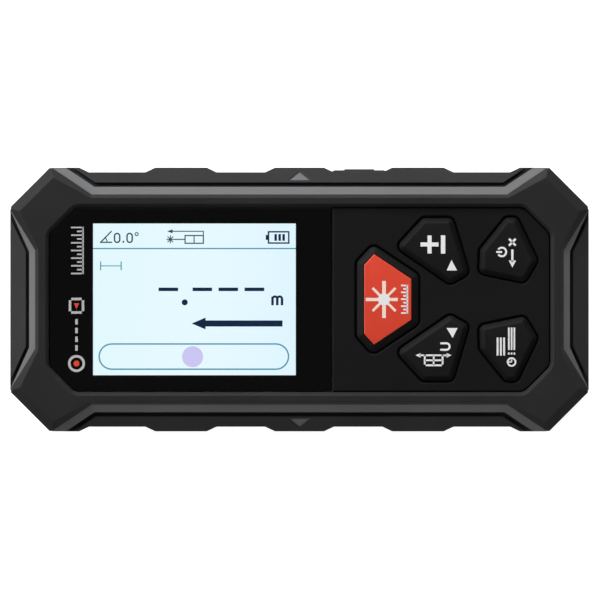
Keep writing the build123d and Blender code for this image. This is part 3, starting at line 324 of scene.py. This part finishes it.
# %% Give every remaining solid its finish
paint(shell_plastic, "front_shell", "rear_shell")
paint(rubber, "usb_cover", *[name for name in nodes if "_grip_" in name or name.endswith("_bumper")])
paint(panel_plastic, "keypad_panel")
paint(cover_glass, "display_window")
paint(lens_glass, "optics_window", "receiver_lens", "collimator_lens")
paint(mask_ink, "window_mask", "lcd_glass")
paint(bezel_gloss, "optics_bezel", "optics_carrier")
paint(brass, "tripod_insert", "laser_barrel")
paint(steel, "usb_socket", "board_screws", "optics_screws", "laser_diode", "apd_sensor")
paint(black_steel, "case_screws")
paint(board_mask, "main_board", "apd_board")
paint(white_plastic, "lcd_backlight", "battery_header", "battery_plug")
paint(chip_epoxy, "board_chips", "buzzer")
paint(pouch_foil, "battery_cell")
paint(film_amber, "lcd_flex")
paint(red_sleeve, "battery_lead_red")
paint(black_sleeve, "battery_lead_black")
paint(label_film, "rating_label")
paint(silicone, "keypad_mat", "battery_pad", "case_gasket")
paint(carbon, *[name for name in nodes if name.startswith("contact_pill_")])
print("nodes without a finish", [name for name in nodes if not nodes[name].data.materials])

# %% [markdown]
# ## Flat shapes for print and for the display
# Print could be an image laid over the face, which would blur close by. Here every symbol is drawn from four
# strokes: a bar, a disc, an arc and a filled outline. Each is a bmesh operator on the XY plane, and one last
# step gives the sheet its thickness and lays it on its surface.

# %% The four strokes
ARC_STEP = 9  # degrees in each piece of an arc
DISC_SIDES = 40


def bar(sketch, start, end, width, overhang=0.0):
    """A straight stroke from start to end."""
    start, end = Vector(start), Vector(end)
    along = (end - start).normalized()
    start, end = start - along * overhang, end + along * overhang
    turn = Matrix.Rotation(math.atan2(along.y, along.x), 4, "Z")
    place = Matrix.Translation(((start + end) / 2).to_3d())
    size = Matrix.Diagonal(((end - start).length, width, 1.0, 1.0))
    bmesh.ops.create_grid(sketch, x_segments=1, y_segments=1, size=0.5, matrix=place @ turn @ size)


def disc(sketch, centre, radius):
    """A filled circle."""
    place = Matrix.Translation(Vector(centre).to_3d())
    bmesh.ops.create_circle(sketch, cap_ends=True, segments=DISC_SIDES, radius=radius, matrix=place)


def arc(sketch, centre, radius, width, start=0.0, sweep=360.0):
    """A curved stroke, made by turning a short line about its centre."""
    centre = Vector(centre).to_3d()
    ray = Vector((math.cos(math.radians(start)), math.sin(math.radians(start)), 0.0))
    ends = [sketch.verts.new(centre + ray * (radius + side * width / 2)) for side in (-1, 1)]
    line = sketch.edges.new(ends)
    steps = max(4, round(abs(sweep) / ARC_STEP))
    bmesh.ops.spin(
        sketch, geom=[*ends, line], cent=centre, axis=(0, 0, 1), angle=math.radians(sweep), steps=steps
    )


def filled(sketch, points):
    """A filled outline."""
    corners = [sketch.verts.new(Vector(point).to_3d()) for point in points]
    bmesh.ops.contextual_create(sketch, geom=corners)


print("strokes", [stroke.__name__ for stroke in (bar, disc, arc, filled)])


# %% Shapes that are made of strokes
def chain(sketch, points, width):
    """Bars from point to point, long enough to close their corners."""
    for start, end in zip(points, points[1:]):
        bar(sketch, start, end, width, overhang=width / 2)


def stadium(sketch, low, high, width):
    """The outline of a bar with round ends, as of a spirit level's tube."""
    radius = (high[1] - low[1]) / 2
    middle = (high[1] + low[1]) / 2
    arc(sketch, (low[0] + radius, middle), radius, width, 90, 180)
    arc(sketch, (high[0] - radius, middle), radius, width, -90, 180)
    bar(sketch, (low[0] + radius, low[1]), (high[0] - radius, low[1]), width)
    bar(sketch, (low[0] + radius, high[1]), (high[0] - radius, high[1]), width)


def nought(sketch, centre, radius, straight, width):
    """The digit 0, as two half circles and two uprights."""
    x, y = centre
    arc(sketch, (x, y + straight / 2), radius, width, 0, 180)
    arc(sketch, (x, y - straight / 2), radius, width, 180, 180)
    for side in (-1, 1):
        bar(sketch, (x + side * radius, y - straight / 2), (x + side * radius, y + straight / 2), width)


def ruler(sketch, base_x, start_y, end_y, count, short, long, width):
    """A ruled edge along Y, with ticks towards the laser end. Every second tick is long."""
    bar(sketch, (base_x, start_y), (base_x, end_y), width, overhang=width / 2)
    for number in range(count):
        y = start_y + (end_y - start_y) * number / (count - 1)
        bar(sketch, (base_x, y), (base_x - (short if number % 2 else long), y), width)


def star(sketch, centre, rays):
    """Rays through a centre, each with its direction in degrees, half length and width."""
    for degrees, reach, width in rays:
        ray = Vector((math.cos(math.radians(degrees)), math.sin(math.radians(degrees)))) * reach
        bar(sketch, Vector(centre) - ray, Vector(centre) + ray, width)


print("shapes", [shape.__name__ for shape in (chain, stadium, nought, ruler, star)])


# %% From a sketch to a piece
SAME_POINT = 0.001  # millimetres


def standing(name, sketch, finish, body):
    """Turns a sketch in millimetres into a piece that rides on a body."""
    bmesh.ops.scale(sketch, verts=sketch.verts, vec=(MM, MM, MM))
    mesh = bpy.data.meshes.new(name)
    sketch.to_mesh(mesh)
    sketch.free()
    mesh.materials.append(finish)
    piece = bpy.data.objects.new(name, mesh)
    bpy.context.scene.collection.objects.link(piece)
    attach(piece, body)
    return piece


def laid(name, sketch, height, thickness, finish, body="case"):
    """Lays a flat sketch at a height, gives it its thickness and closes it."""
    bmesh.ops.remove_doubles(sketch, verts=sketch.verts, dist=SAME_POINT)
    bmesh.ops.recalc_face_normals(sketch, faces=sketch.faces)
    for face in sketch.faces:
        if face.normal.z < 0:
            face.normal_flip()
    tops = bmesh.ops.extrude_face_region(sketch, geom=sketch.faces[:], use_keep_orig=True)["geom"]
    raised = [item for item in tops if isinstance(item, bmesh.types.BMVert)]
    bmesh.ops.translate(sketch, verts=raised, vec=(0, 0, thickness))
    bmesh.ops.recalc_face_normals(sketch, faces=sketch.faces)
    bmesh.ops.translate(sketch, verts=sketch.verts, vec=(0, 0, height))
    return standing(name, sketch, finish, body)


print("points closer than", SAME_POINT, "mm are merged")

# %% [markdown]
# ## The lit picture
# A colour display is a lamp behind a filter, so its white is a colour of light and not of paint. A white paint
# under the studio lamps would turn grey when the meter is tilted. So the picture is a sheet that shines pale
# blue, a little bluer towards the keys, and the symbols are thin sheets on it that shine in their own colours.

# %% Materials that shine
PICTURE_STRENGTH = 1.09
PICTURE_LASER_END = (0.745, 0.930, 0.973)
PICTURE_MIDDLE = (0.784, 0.938, 0.991)
PICTURE_KEY_END = (0.730, 0.905, 0.991)


def shining(name, colour, strength=1.0):
    """A colour of the display, which gives off light and hardly reflects any."""
    material, shader, place = new_material(name, specular=0.0)
    shader.inputs["Base Color"].default_value = (0.0, 0.0, 0.0, 1.0)
    shader.inputs["Roughness"].default_value = 0.6
    shader.inputs["Emission Color"].default_value = (*colour, 1.0)
    shader.inputs["Emission Strength"].default_value = strength
    return material, shader, place


def lit_picture(near_x, far_x):
    """The backlight's colour from near_x to far_x. It is brightest in the middle."""
    material, shader, place = shining("lit_picture", PICTURE_MIDDLE, strength=PICTURE_STRENGTH)
    tree = material.node_tree
    split = tree.nodes.new("ShaderNodeSeparateXYZ")
    tree.links.new(place.outputs["Object"], split.inputs["Vector"])
    ranger = tree.nodes.new("ShaderNodeMapRange")
    ranger.inputs["From Min"].default_value = near_x * MM
    ranger.inputs["From Max"].default_value = far_x * MM
    tree.links.new(split.outputs["X"], ranger.inputs["Value"])
    ramp = tree.nodes.new("ShaderNodeValToRGB")
    ramp.color_ramp.elements[0].color = (*PICTURE_LASER_END, 1.0)
    ramp.color_ramp.elements[1].color = (*PICTURE_KEY_END, 1.0)
    ramp.color_ramp.elements.new(0.5).color = (*PICTURE_MIDDLE, 1.0)
    tree.links.new(ranger.outputs["Result"], ramp.inputs["Fac"])
    tree.links.new(ramp.outputs["Color"], shader.inputs["Emission Color"])
    return material


SCREEN_X, SCREEN_Y, SCREEN_W, SCREEN_H = -21.03, 0.03, 40.8, 30.6
picture_light = lit_picture(SCREEN_X - SCREEN_W / 2, SCREEN_X + SCREEN_W / 2)
navy_light = shining("navy_light", (0.002, 0.016, 0.055))[0]
slate_light = shining("slate_light", (0.010, 0.075, 0.13))[0]
teal_light = shining("teal_light", (0.045, 0.29, 0.41))[0]
lilac_light = shining("lilac_light", (0.64, 0.60, 0.96))[0]
print("lights of the display", [m.name for m in bpy.data.materials if m.name.endswith("_light")])

# %% The lit picture
FILM = 0.02  # each layer of the display lies this far above the last
DARK_EDGE = 0.12  # unlit margin inside the window's border
picture_z = display_top + FILM

sketch = bmesh.new()
filled(
    sketch,
    [
        (SCREEN_X + side_x * (SCREEN_W / 2 - DARK_EDGE), SCREEN_Y + side_y * (SCREEN_H / 2 - DARK_EDGE))
        for side_x, side_y in ((-1, -1), (1, -1), (1, 1), (-1, 1))
    ],
)
laid("display_picture", sketch, picture_z, FILM, picture_light)
print("picture", SCREEN_W, "by", SCREEN_H, "at", round(picture_z, 2))

# %% The empty reading, the arrow of the beam, the unit and the battery
sketch = bmesh.new()
for start_x, end_x in ((-28.2, -24.3), (-21.4, -17.5), (-16.2, -12.3), (-11.0, -7.05)):
    bar(sketch, (start_x, 2.03), (end_x, 2.03), 0.7)
disc(sketch, (-22.97, -0.57), 0.6)
bar(sketch, (-19.0, -4.8), (-3.4, -4.8), 1.22)
filled(sketch, [(-21.6, -4.8), (-18.8, -5.98), (-18.8, -3.62)])
# unit of length
for x in (-5.4, -4.45, -3.5):
    bar(sketch, (x, -1.15), (x, 0.55 if x < -5 else 0.12), 0.5)
arc(sketch, (-4.925, 0.12), 0.475, 0.46, 0, 180)
arc(sketch, (-3.975, 0.12), 0.475, 0.46, 0, 180)
# battery
chain(sketch, [(-2.15, 11.3), (-2.15, 13.55), (-6.2, 13.55), (-6.2, 11.3), (-2.15, 11.3)], 0.3)
bar(sketch, (-6.75, 12.43), (-6.3, 12.43), 1.0)
for x in (-4.77, -3.97, -3.17):
    bar(sketch, (x, 11.75), (x, 13.1), 0.5)
laid("display_symbols", sketch, picture_z + FILM, FILM, navy_light)
print("reading, arrow, unit and battery drawn")

# %% Tilt sign, its reading, and the sign of the edge that is measured from
sketch = bmesh.new()
chain(sketch, [(-37.7, 13.6), (-39.8, 11.45), (-37.6, 11.45)], 0.26)
arc(sketch, (-39.8, 11.45), 1.3, 0.2, 0, 46)
nought(sketch, (-36.5, 12.33), 0.52, 0.75, 0.3)
disc(sketch, (-35.25, 11.55), 0.2)
nought(sketch, (-34.0, 12.33), 0.52, 0.75, 0.3)
arc(sketch, (-32.6, 13.1), 0.3, 0.2)
chain(sketch, [(-25.6, 13.65), (-19.25, 13.65), (-19.25, 12.95)], 0.2)
filled(sketch, [(-26.5, 13.65), (-25.4, 13.25), (-25.4, 14.05)])
bar(sketch, (-25.2, 12.03), (-22.9, 12.03), 0.22)
chain(sketch, [(-22.9, 11.25), (-22.9, 12.8), (-19.25, 12.8), (-19.25, 11.25), (-22.9, 11.25)], 0.24)
bar(sketch, (-21.1, 11.25), (-21.1, 12.8), 0.22)
star(sketch, (-25.85, 12.03), [(degrees, 0.8, 0.2) for degrees in (0, 45, 90, 135)])
laid("display_signs", sketch, picture_z + FILM, FILM, slate_light)
print("tilt and edge signs drawn")

# %% Rules, level and bubble
sketch = bmesh.new()
bar(sketch, (SCREEN_X - SCREEN_W / 2 + DARK_EDGE, 10.2), (SCREEN_X + SCREEN_W / 2 - DARK_EDGE, 10.2), 0.24)
stadium(sketch, (-40.1, -13.95), (-2.2, -8.9), 0.28)
for x in (-39.8, -35.7):
    bar(sketch, (x, 5.85), (x, 7.6), 0.22)
bar(sketch, (-39.8, 6.73), (-35.7, 6.73), 0.18)
laid("display_lines", sketch, picture_z + FILM, FILM, teal_light)

sketch = bmesh.new()
disc(sketch, (-21.4, -11.45), 2.1)
laid("display_bubble", sketch, picture_z + FILM, FILM, lilac_light)

# %% [markdown]
# ## Print on the keys
# The meter is held with the laser end up, so up is -X on every key. The print is a film far thinner than a
# hair. It could be part of the key's own finish, but as a sheet laid on the key's top it stays crisp, and it
# rides on the key. The keys carry generic signs only: a laser star and a ruler, plus and minus, two arrowheads,
# a spanned box with a U for its units, power, erase, a menu and a timed list.

# %% Laser star and ruler on the red cap
PRINT = 0.015  # thickness of the printed film
PRINT_GAP = 0.002  # keeps the film's underside clear of the surface
key_print_z = key_top + PRINT_GAP
cap_print_z = cap_top + PRINT_GAP
LASER_SIGN = (16.9, 0.0)
RAY_START, RAY_END = 13.25, 19.65  # the ray that points along the meter reaches further towards the laser end
sketch = bmesh.new()
star(sketch, LASER_SIGN, [(90, 3.7, 0.75), (45, 3.25, 0.5), (-45, 3.25, 0.5)])
bar(sketch, (RAY_START, 0.0), (RAY_END, 0.0), 0.65)
laid("laser_sign_rays", sketch, cap_print_z, PRINT, print_pink, body="measure_key")
sketch = bmesh.new()
disc(sketch, LASER_SIGN, 1.2)
laid("laser_sign_core", sketch, cap_print_z + PRINT, PRINT, print_white, body="measure_key")
sketch = bmesh.new()
ruler(sketch, 21.55, -2.7, 2.8, 9, 0.8, 1.25, 0.32)
laid("measure_ruler", sketch, cap_print_z, PRINT, print_white, body="measure_key")
print("cap signs at", round(cap_print_z, 2))

# %% Signs on the four black keys
sketch = bmesh.new()
bar(sketch, (26.0, 9.2), (26.0, 12.8), 0.82)
bar(sketch, (24.2, 11.0), (25.59, 11.0), 0.82)
bar(sketch, (26.41, 11.0), (27.8, 11.0), 0.82)
bar(sketch, (28.7, 9.17), (28.7, 12.83), 0.88)
filled(sketch, [(30.4, 7.9), (29.4, 5.8), (31.5, 5.8)])
laid("plus_minus_sign", sketch, key_print_z, PRINT, print_white, body="plus_minus_key")

sketch = bmesh.new()
filled(sketch, [(30.6, -7.7), (29.4, -5.7), (31.6, -5.7)])
bar(sketch, (28.15, -8.75), (29.35, -8.75), 0.4)
bar(sketch, (28.15, -10.05), (29.35, -10.05), 0.4)
arc(sketch, (29.35, -9.4), 0.65, 0.4, -90, 180)
bar(sketch, (24.0, -11.15), (29.6, -11.15), 0.34)
filled(sketch, [(23.2, -11.15), (24.2, -11.6), (24.2, -10.7)])
filled(sketch, [(30.4, -11.15), (29.4, -10.7), (29.4, -11.6)])
chain(sketch, [(25.05, -11.15), (25.05, -13.15), (28.6, -13.15), (28.6, -11.15)], 0.36)
bar(sketch, (26.82, -11.15), (26.82, -13.15), 0.34)
bar(sketch, (25.05, -12.15), (28.6, -12.15), 0.34)
laid("area_unit_sign", sketch, key_print_z, PRINT, print_white, body="area_unit_key")

sketch = bmesh.new()
arc(sketch, (40.45, 9.5), 0.86, 0.38, 215, 290)
bar(sketch, (40.5, 9.5), (39.3, 9.5), 0.38)
bar(sketch, (42.55, 7.5), (42.55, 10.0), 0.45)
filled(sketch, [(42.55, 6.4), (43.3, 7.8), (41.8, 7.8)])
star(sketch, (42.55, 11.45), [(45, 0.95, 0.45), (-45, 0.95, 0.45)])
laid("off_clear_sign", sketch, key_print_z, PRINT, print_white, body="off_clear_key")

sketch = bmesh.new()
for x in (39.6, 40.25, 40.9):
    bar(sketch, (x, -11.2), (x, -7.6), 0.38)
arc(sketch, (42.4, -12.5), 0.78, 0.34)
bar(sketch, (42.4, -12.5), (41.8, -12.5), 0.26)
bar(sketch, (42.4, -12.5), (42.4, -12.0), 0.26)
for x in (41.85, 42.4, 42.95):
    bar(sketch, (x, -11.0), (x, -10.6), 0.34)
    bar(sketch, (x, -10.1), (x, -5.6), 0.34)
laid("fun_record_sign", sketch, key_print_z, PRINT, print_white, body="fun_record_key")

# %% [markdown]
# ## Print on the window's dark border
# The wide border beside the display shows a beam that leaves a small box and meets a target, and a ruled edge.
# They are printed like the keys. The glass is polished along its edge, and the lamp lights a thin line on the
# side that faces it. It could come from the lamp alone, but at this scale it is a painted highlight, a thin
# pale sheet of its own.

# %% Beam, target and ruler beside the display
border_print_z = window_top + PRINT_GAP
sketch = bmesh.new()
ruler(sketch, -43.3, 5.2, 14.4, 13, 1.2, 2.4, 0.3)
laid("border_ruler", sketch, border_print_z, PRINT, print_grey)

BEAM_X = -44.6
TARGET = (BEAM_X, -12.8)
sketch = bmesh.new()
chain(sketch, [(-45.9, -2.6), (-43.3, -2.6), (-43.3, 0.1), (-45.9, 0.1), (-45.9, -2.6)], 0.5)
for step in range(4):
    bar(sketch, (BEAM_X, -3.9 - 1.75 * step), (BEAM_X, -5.0 - 1.75 * step), 0.5)
arc(sketch, TARGET, 1.45, 0.5)
laid("border_target", sketch, border_print_z, PRINT, print_grey)
sketch = bmesh.new()
disc(sketch, TARGET, 0.6)
filled(sketch, [(BEAM_X - 0.55, -0.75), (BEAM_X + 0.55, -0.75), (BEAM_X, -1.95)])
laid("border_red_marks", sketch, border_print_z, PRINT, cap_plastic)

# Painted highlight: a thin pale sheet along the glass's edge, on the side that faces the lamp.
sketch = bmesh.new()
chain(sketch, [(-49.75, 13.4), (-44.95, 18.3), (6.2, 18.3)], 0.13)
laid("painted_window_edge_highlight", sketch, border_print_z, PRINT, painted_edge_highlight)
print("border print at", round(border_print_z, 2))

# %% [markdown]
# ## The charging cover
# A fingernail lifts the cover by three small ribs near its upper edge, above the bead that it bends on. Their
# shape is small but it catches the light, so they are real boxes with bevelled edges and not a bump.

# %% Ribs of the cover
cover_low, cover_high = millimetres("usb_cover")
RIB_LONG, RIB_WIDE, RIB_STEP, RIB_PROUD = 6.0, 0.35, 0.75, 0.22
RIB_ROUND, RIB_FROM_TOP, RIBS = 0.1, 1.0, 3
sketch = bmesh.new()
for number in range(RIBS):
    height = cover_high.z - RIB_FROM_TOP - RIB_STEP * number
    centre = ((cover_low.x + cover_high.x) / 2, cover_high.y, height)
    box = Matrix.Translation(centre) @ Matrix.Diagonal((RIB_LONG, 2 * RIB_PROUD, RIB_WIDE, 1.0))
    bmesh.ops.create_cube(sketch, size=1.0, matrix=box)
bmesh.ops.bevel(
    sketch, geom=sketch.edges[:], offset=RIB_ROUND, affect="EDGES", segments=2, profile=0.5, material=-1
)
standing("cover_ribs", sketch, rubber, "cover")
print("ribs", RIBS, "highest at", round(cover_high.z - RIB_FROM_TOP, 2))

# %% [markdown]
# ## The back
# The label carries a frame, rows where its wording would be, a bar pattern and a plain warning triangle. It is
# seen from below, so its film hangs under it. The tripod thread could be a bump on the bore, but it shows in
# outline when the insert is looked at, so it is a ridge that a spin raises as it turns inside the brass insert.

# %% Label print
label_low, label_high = millimetres("rating_label")
LABEL_MARGIN, LABEL_ROWS, ROW_STEP, ROW_INSET = 1.2, 5, 1.9, 1.5
left, right = label_low.x + LABEL_MARGIN, label_high.x - LABEL_MARGIN
lower, upper = label_low.y + LABEL_MARGIN, label_high.y - LABEL_MARGIN
sketch = bmesh.new()
chain(sketch, [(left, lower), (right, lower), (right, upper), (left, upper), (left, lower)], 0.2)
for row in range(LABEL_ROWS):
    row_y = lower + 2.0 + ROW_STEP * row
    bar(sketch, (left + ROW_INSET, row_y), (right - 11 - 2.5 * (row % 2), row_y), 0.55)
BAR_WIDTHS, BAR_COUNT, BAR_GAP = (0.25, 0.45, 0.25, 0.65, 0.35), 26, 0.35
bar_x = left + ROW_INSET
for number in range(BAR_COUNT):
    wide = BAR_WIDTHS[number * 3 % len(BAR_WIDTHS)]
    bar(sketch, (bar_x, upper - 5.8), (bar_x, upper - ROW_INSET), wide)
    bar_x += wide + BAR_GAP
SIGN_HALF, SIGN_TALL = 3.6, 6.2
sign_x, sign_y = right - 5.2, lower + 2.2
foot_left, foot_right = (sign_x - SIGN_HALF, sign_y), (sign_x + SIGN_HALF, sign_y)
chain(sketch, [foot_left, foot_right, (sign_x, sign_y + SIGN_TALL), foot_left], 0.4)
star(sketch, (sign_x, sign_y + SIGN_TALL / 3), [(0, 1.3, 0.35), (60, 1.3, 0.35), (120, 1.3, 0.35)])
laid("label_print", sketch, label_low.z - PRINT_GAP - PRINT, PRINT, print_white)
print("label print", round(right - left, 1), "by", round(upper - lower, 1))

# %% Tripod thread
THREAD_BORE, THREAD_PITCH, THREAD_DEEP, THREAD_TURNS = 2.6, 1.27, 0.22, 4
THREAD_HALF, THREAD_ROOT, TURN_STEPS = 0.35, 0.05, 48  # half width, depth in the brass, pieces of a turn
start_z = millimetres("tripod_insert")[0].z + 0.6
sketch = bmesh.new()
profile = [
    sketch.verts.new((THREAD_BORE + depth, 0.0, start_z + rise))
    for depth, rise in ((THREAD_ROOT, -THREAD_HALF), (-THREAD_DEEP, 0.0), (THREAD_ROOT, THREAD_HALF))
]
edges = [sketch.edges.new(pair) for pair in zip(profile, profile[1:] + profile[:1])]
bmesh.ops.spin(
    sketch, geom=[*profile, *edges], cent=(0, 0, 0), axis=(0, 0, 1), dvec=(0, 0, THREAD_PITCH / TURN_STEPS),
    angle=math.tau * THREAD_TURNS, steps=TURN_STEPS * THREAD_TURNS,
)
bmesh.ops.holes_fill(sketch, edges=[edge for edge in sketch.edges if edge.is_boundary])
bmesh.ops.recalc_face_normals(sketch, faces=sketch.faces)
thread_ridge = standing("tripod_thread_ridge", sketch, brass, "case")
print("thread ridge faces", len(thread_ridge.data.polygons))

# %% [markdown]
# ## Studio
# The meter lies on a white table under a dark ceiling. One long soft lamp stands beyond the socket side, a
# second one beyond the laser end, and a weak one opposite keeps the near slopes from going black. Sun lamps
# would be simpler, but their hard highlights don't suit rubber. The camera looks straight down from far away
# through a long lens, so that both ends show at the same scale.

# %% Lamps
MIDDLE = (0.0, 0.0, 0.015)  # metres, as everything in the studio


def lamp(name, place, size, power):
    """A soft rectangular lamp that points at the meter and doesn't show itself."""
    data = bpy.data.lights.new(name, "AREA")
    data.shape = "RECTANGLE"
    data.size, data.size_y = size
    data.energy = power
    light = bpy.data.objects.new(name, data)
    light.location = place
    light.rotation_euler = (Vector(MIDDLE) - Vector(place)).to_track_quat("-Z", "Y").to_euler()
    light.visible_camera = False
    bpy.context.scene.collection.objects.link(light)


lamp("socket_side_lamp", (-0.2, 0.72, 0.55), (1.2, 0.5), 12.5)
lamp("laser_end_lamp", (-0.80, 0.1, 0.45), (0.5, 0.9), 4.2)
lamp("fill_lamp", (0.5, -0.7, 0.5), (0.9, 0.5), 1.0)
print("lamps", [light.name for light in bpy.data.lights])

# %% Table
TABLE_GAP = 0.0003  # so that the table doesn't coincide with the rubber that rests on it
TABLE_HALF, TABLE_GREY, TABLE_GLOW = 3.0, 0.5, 0.92
sketch = bmesh.new()
drop = Matrix.Translation((0, 0, -TABLE_GAP))
bmesh.ops.create_grid(sketch, x_segments=1, y_segments=1, size=TABLE_HALF, matrix=drop)
table_mesh = bpy.data.meshes.new("table")
sketch.to_mesh(table_mesh)
sketch.free()
table_paint, table_shader, _ = new_material("table_paint", specular=0.1)
table_shader.inputs["Base Color"].default_value = (TABLE_GREY, TABLE_GREY, TABLE_GREY, 1.0)
table_shader.inputs["Roughness"].default_value = 0.9
table_shader.inputs["Emission Color"].default_value = (1.0, 1.0, 1.0, 1.0)
table_shader.inputs["Emission Strength"].default_value = TABLE_GLOW
table_mesh.materials.append(table_paint)
table = bpy.data.objects.new("table", table_mesh)
bpy.context.scene.collection.objects.link(table)
print("table half width", TABLE_HALF)

# %% Walls and ceiling of the studio
WALL_LIGHT, CEILING_LIGHT, CEILING_FROM = (0.30, 0.30, 0.31), (0.10, 0.10, 0.10), 0.85
world = bpy.data.worlds.new("studio_room")
bpy.context.scene.world = world
world.use_nodes = True
room = world.node_tree
direction = room.nodes.new("ShaderNodeTexCoord")
axes = room.nodes.new("ShaderNodeSeparateXYZ")
room.links.new(direction.outputs["Generated"], axes.inputs["Vector"])
walls = room.nodes.new("ShaderNodeValToRGB")
walls.color_ramp.elements[0].color = (*WALL_LIGHT, 1.0)
walls.color_ramp.elements[1].position = CEILING_FROM
walls.color_ramp.elements[1].color = (*CEILING_LIGHT, 1.0)
room.links.new(axes.outputs["Z"], walls.inputs["Fac"])
room.links.new(walls.outputs["Color"], room.nodes["Background"].inputs["Color"])
print("world", world.name)

# %% Camera
LENS, SENSOR = 500.0, 36.0  # millimetres
VIEW_WIDTH = 0.120  # metres across the square picture
SHIFT = 0.0001  # the meter lies this far off the middle of the picture, both ways
face_z = window_top * MM
camera_data = bpy.data.cameras.new("camera")
camera_data.lens = LENS
camera_data.sensor_width = SENSOR
camera_data.clip_end = 10.0
camera = bpy.data.objects.new("camera", camera_data)
camera.location = (SHIFT, -SHIFT, face_z + VIEW_WIDTH * LENS / SENSOR)
bpy.context.scene.collection.objects.link(camera)
bpy.context.scene.camera = camera
bpy.context.scene.view_settings.view_transform = "Standard"
print("camera at", [round(v, 4) for v in camera.location])
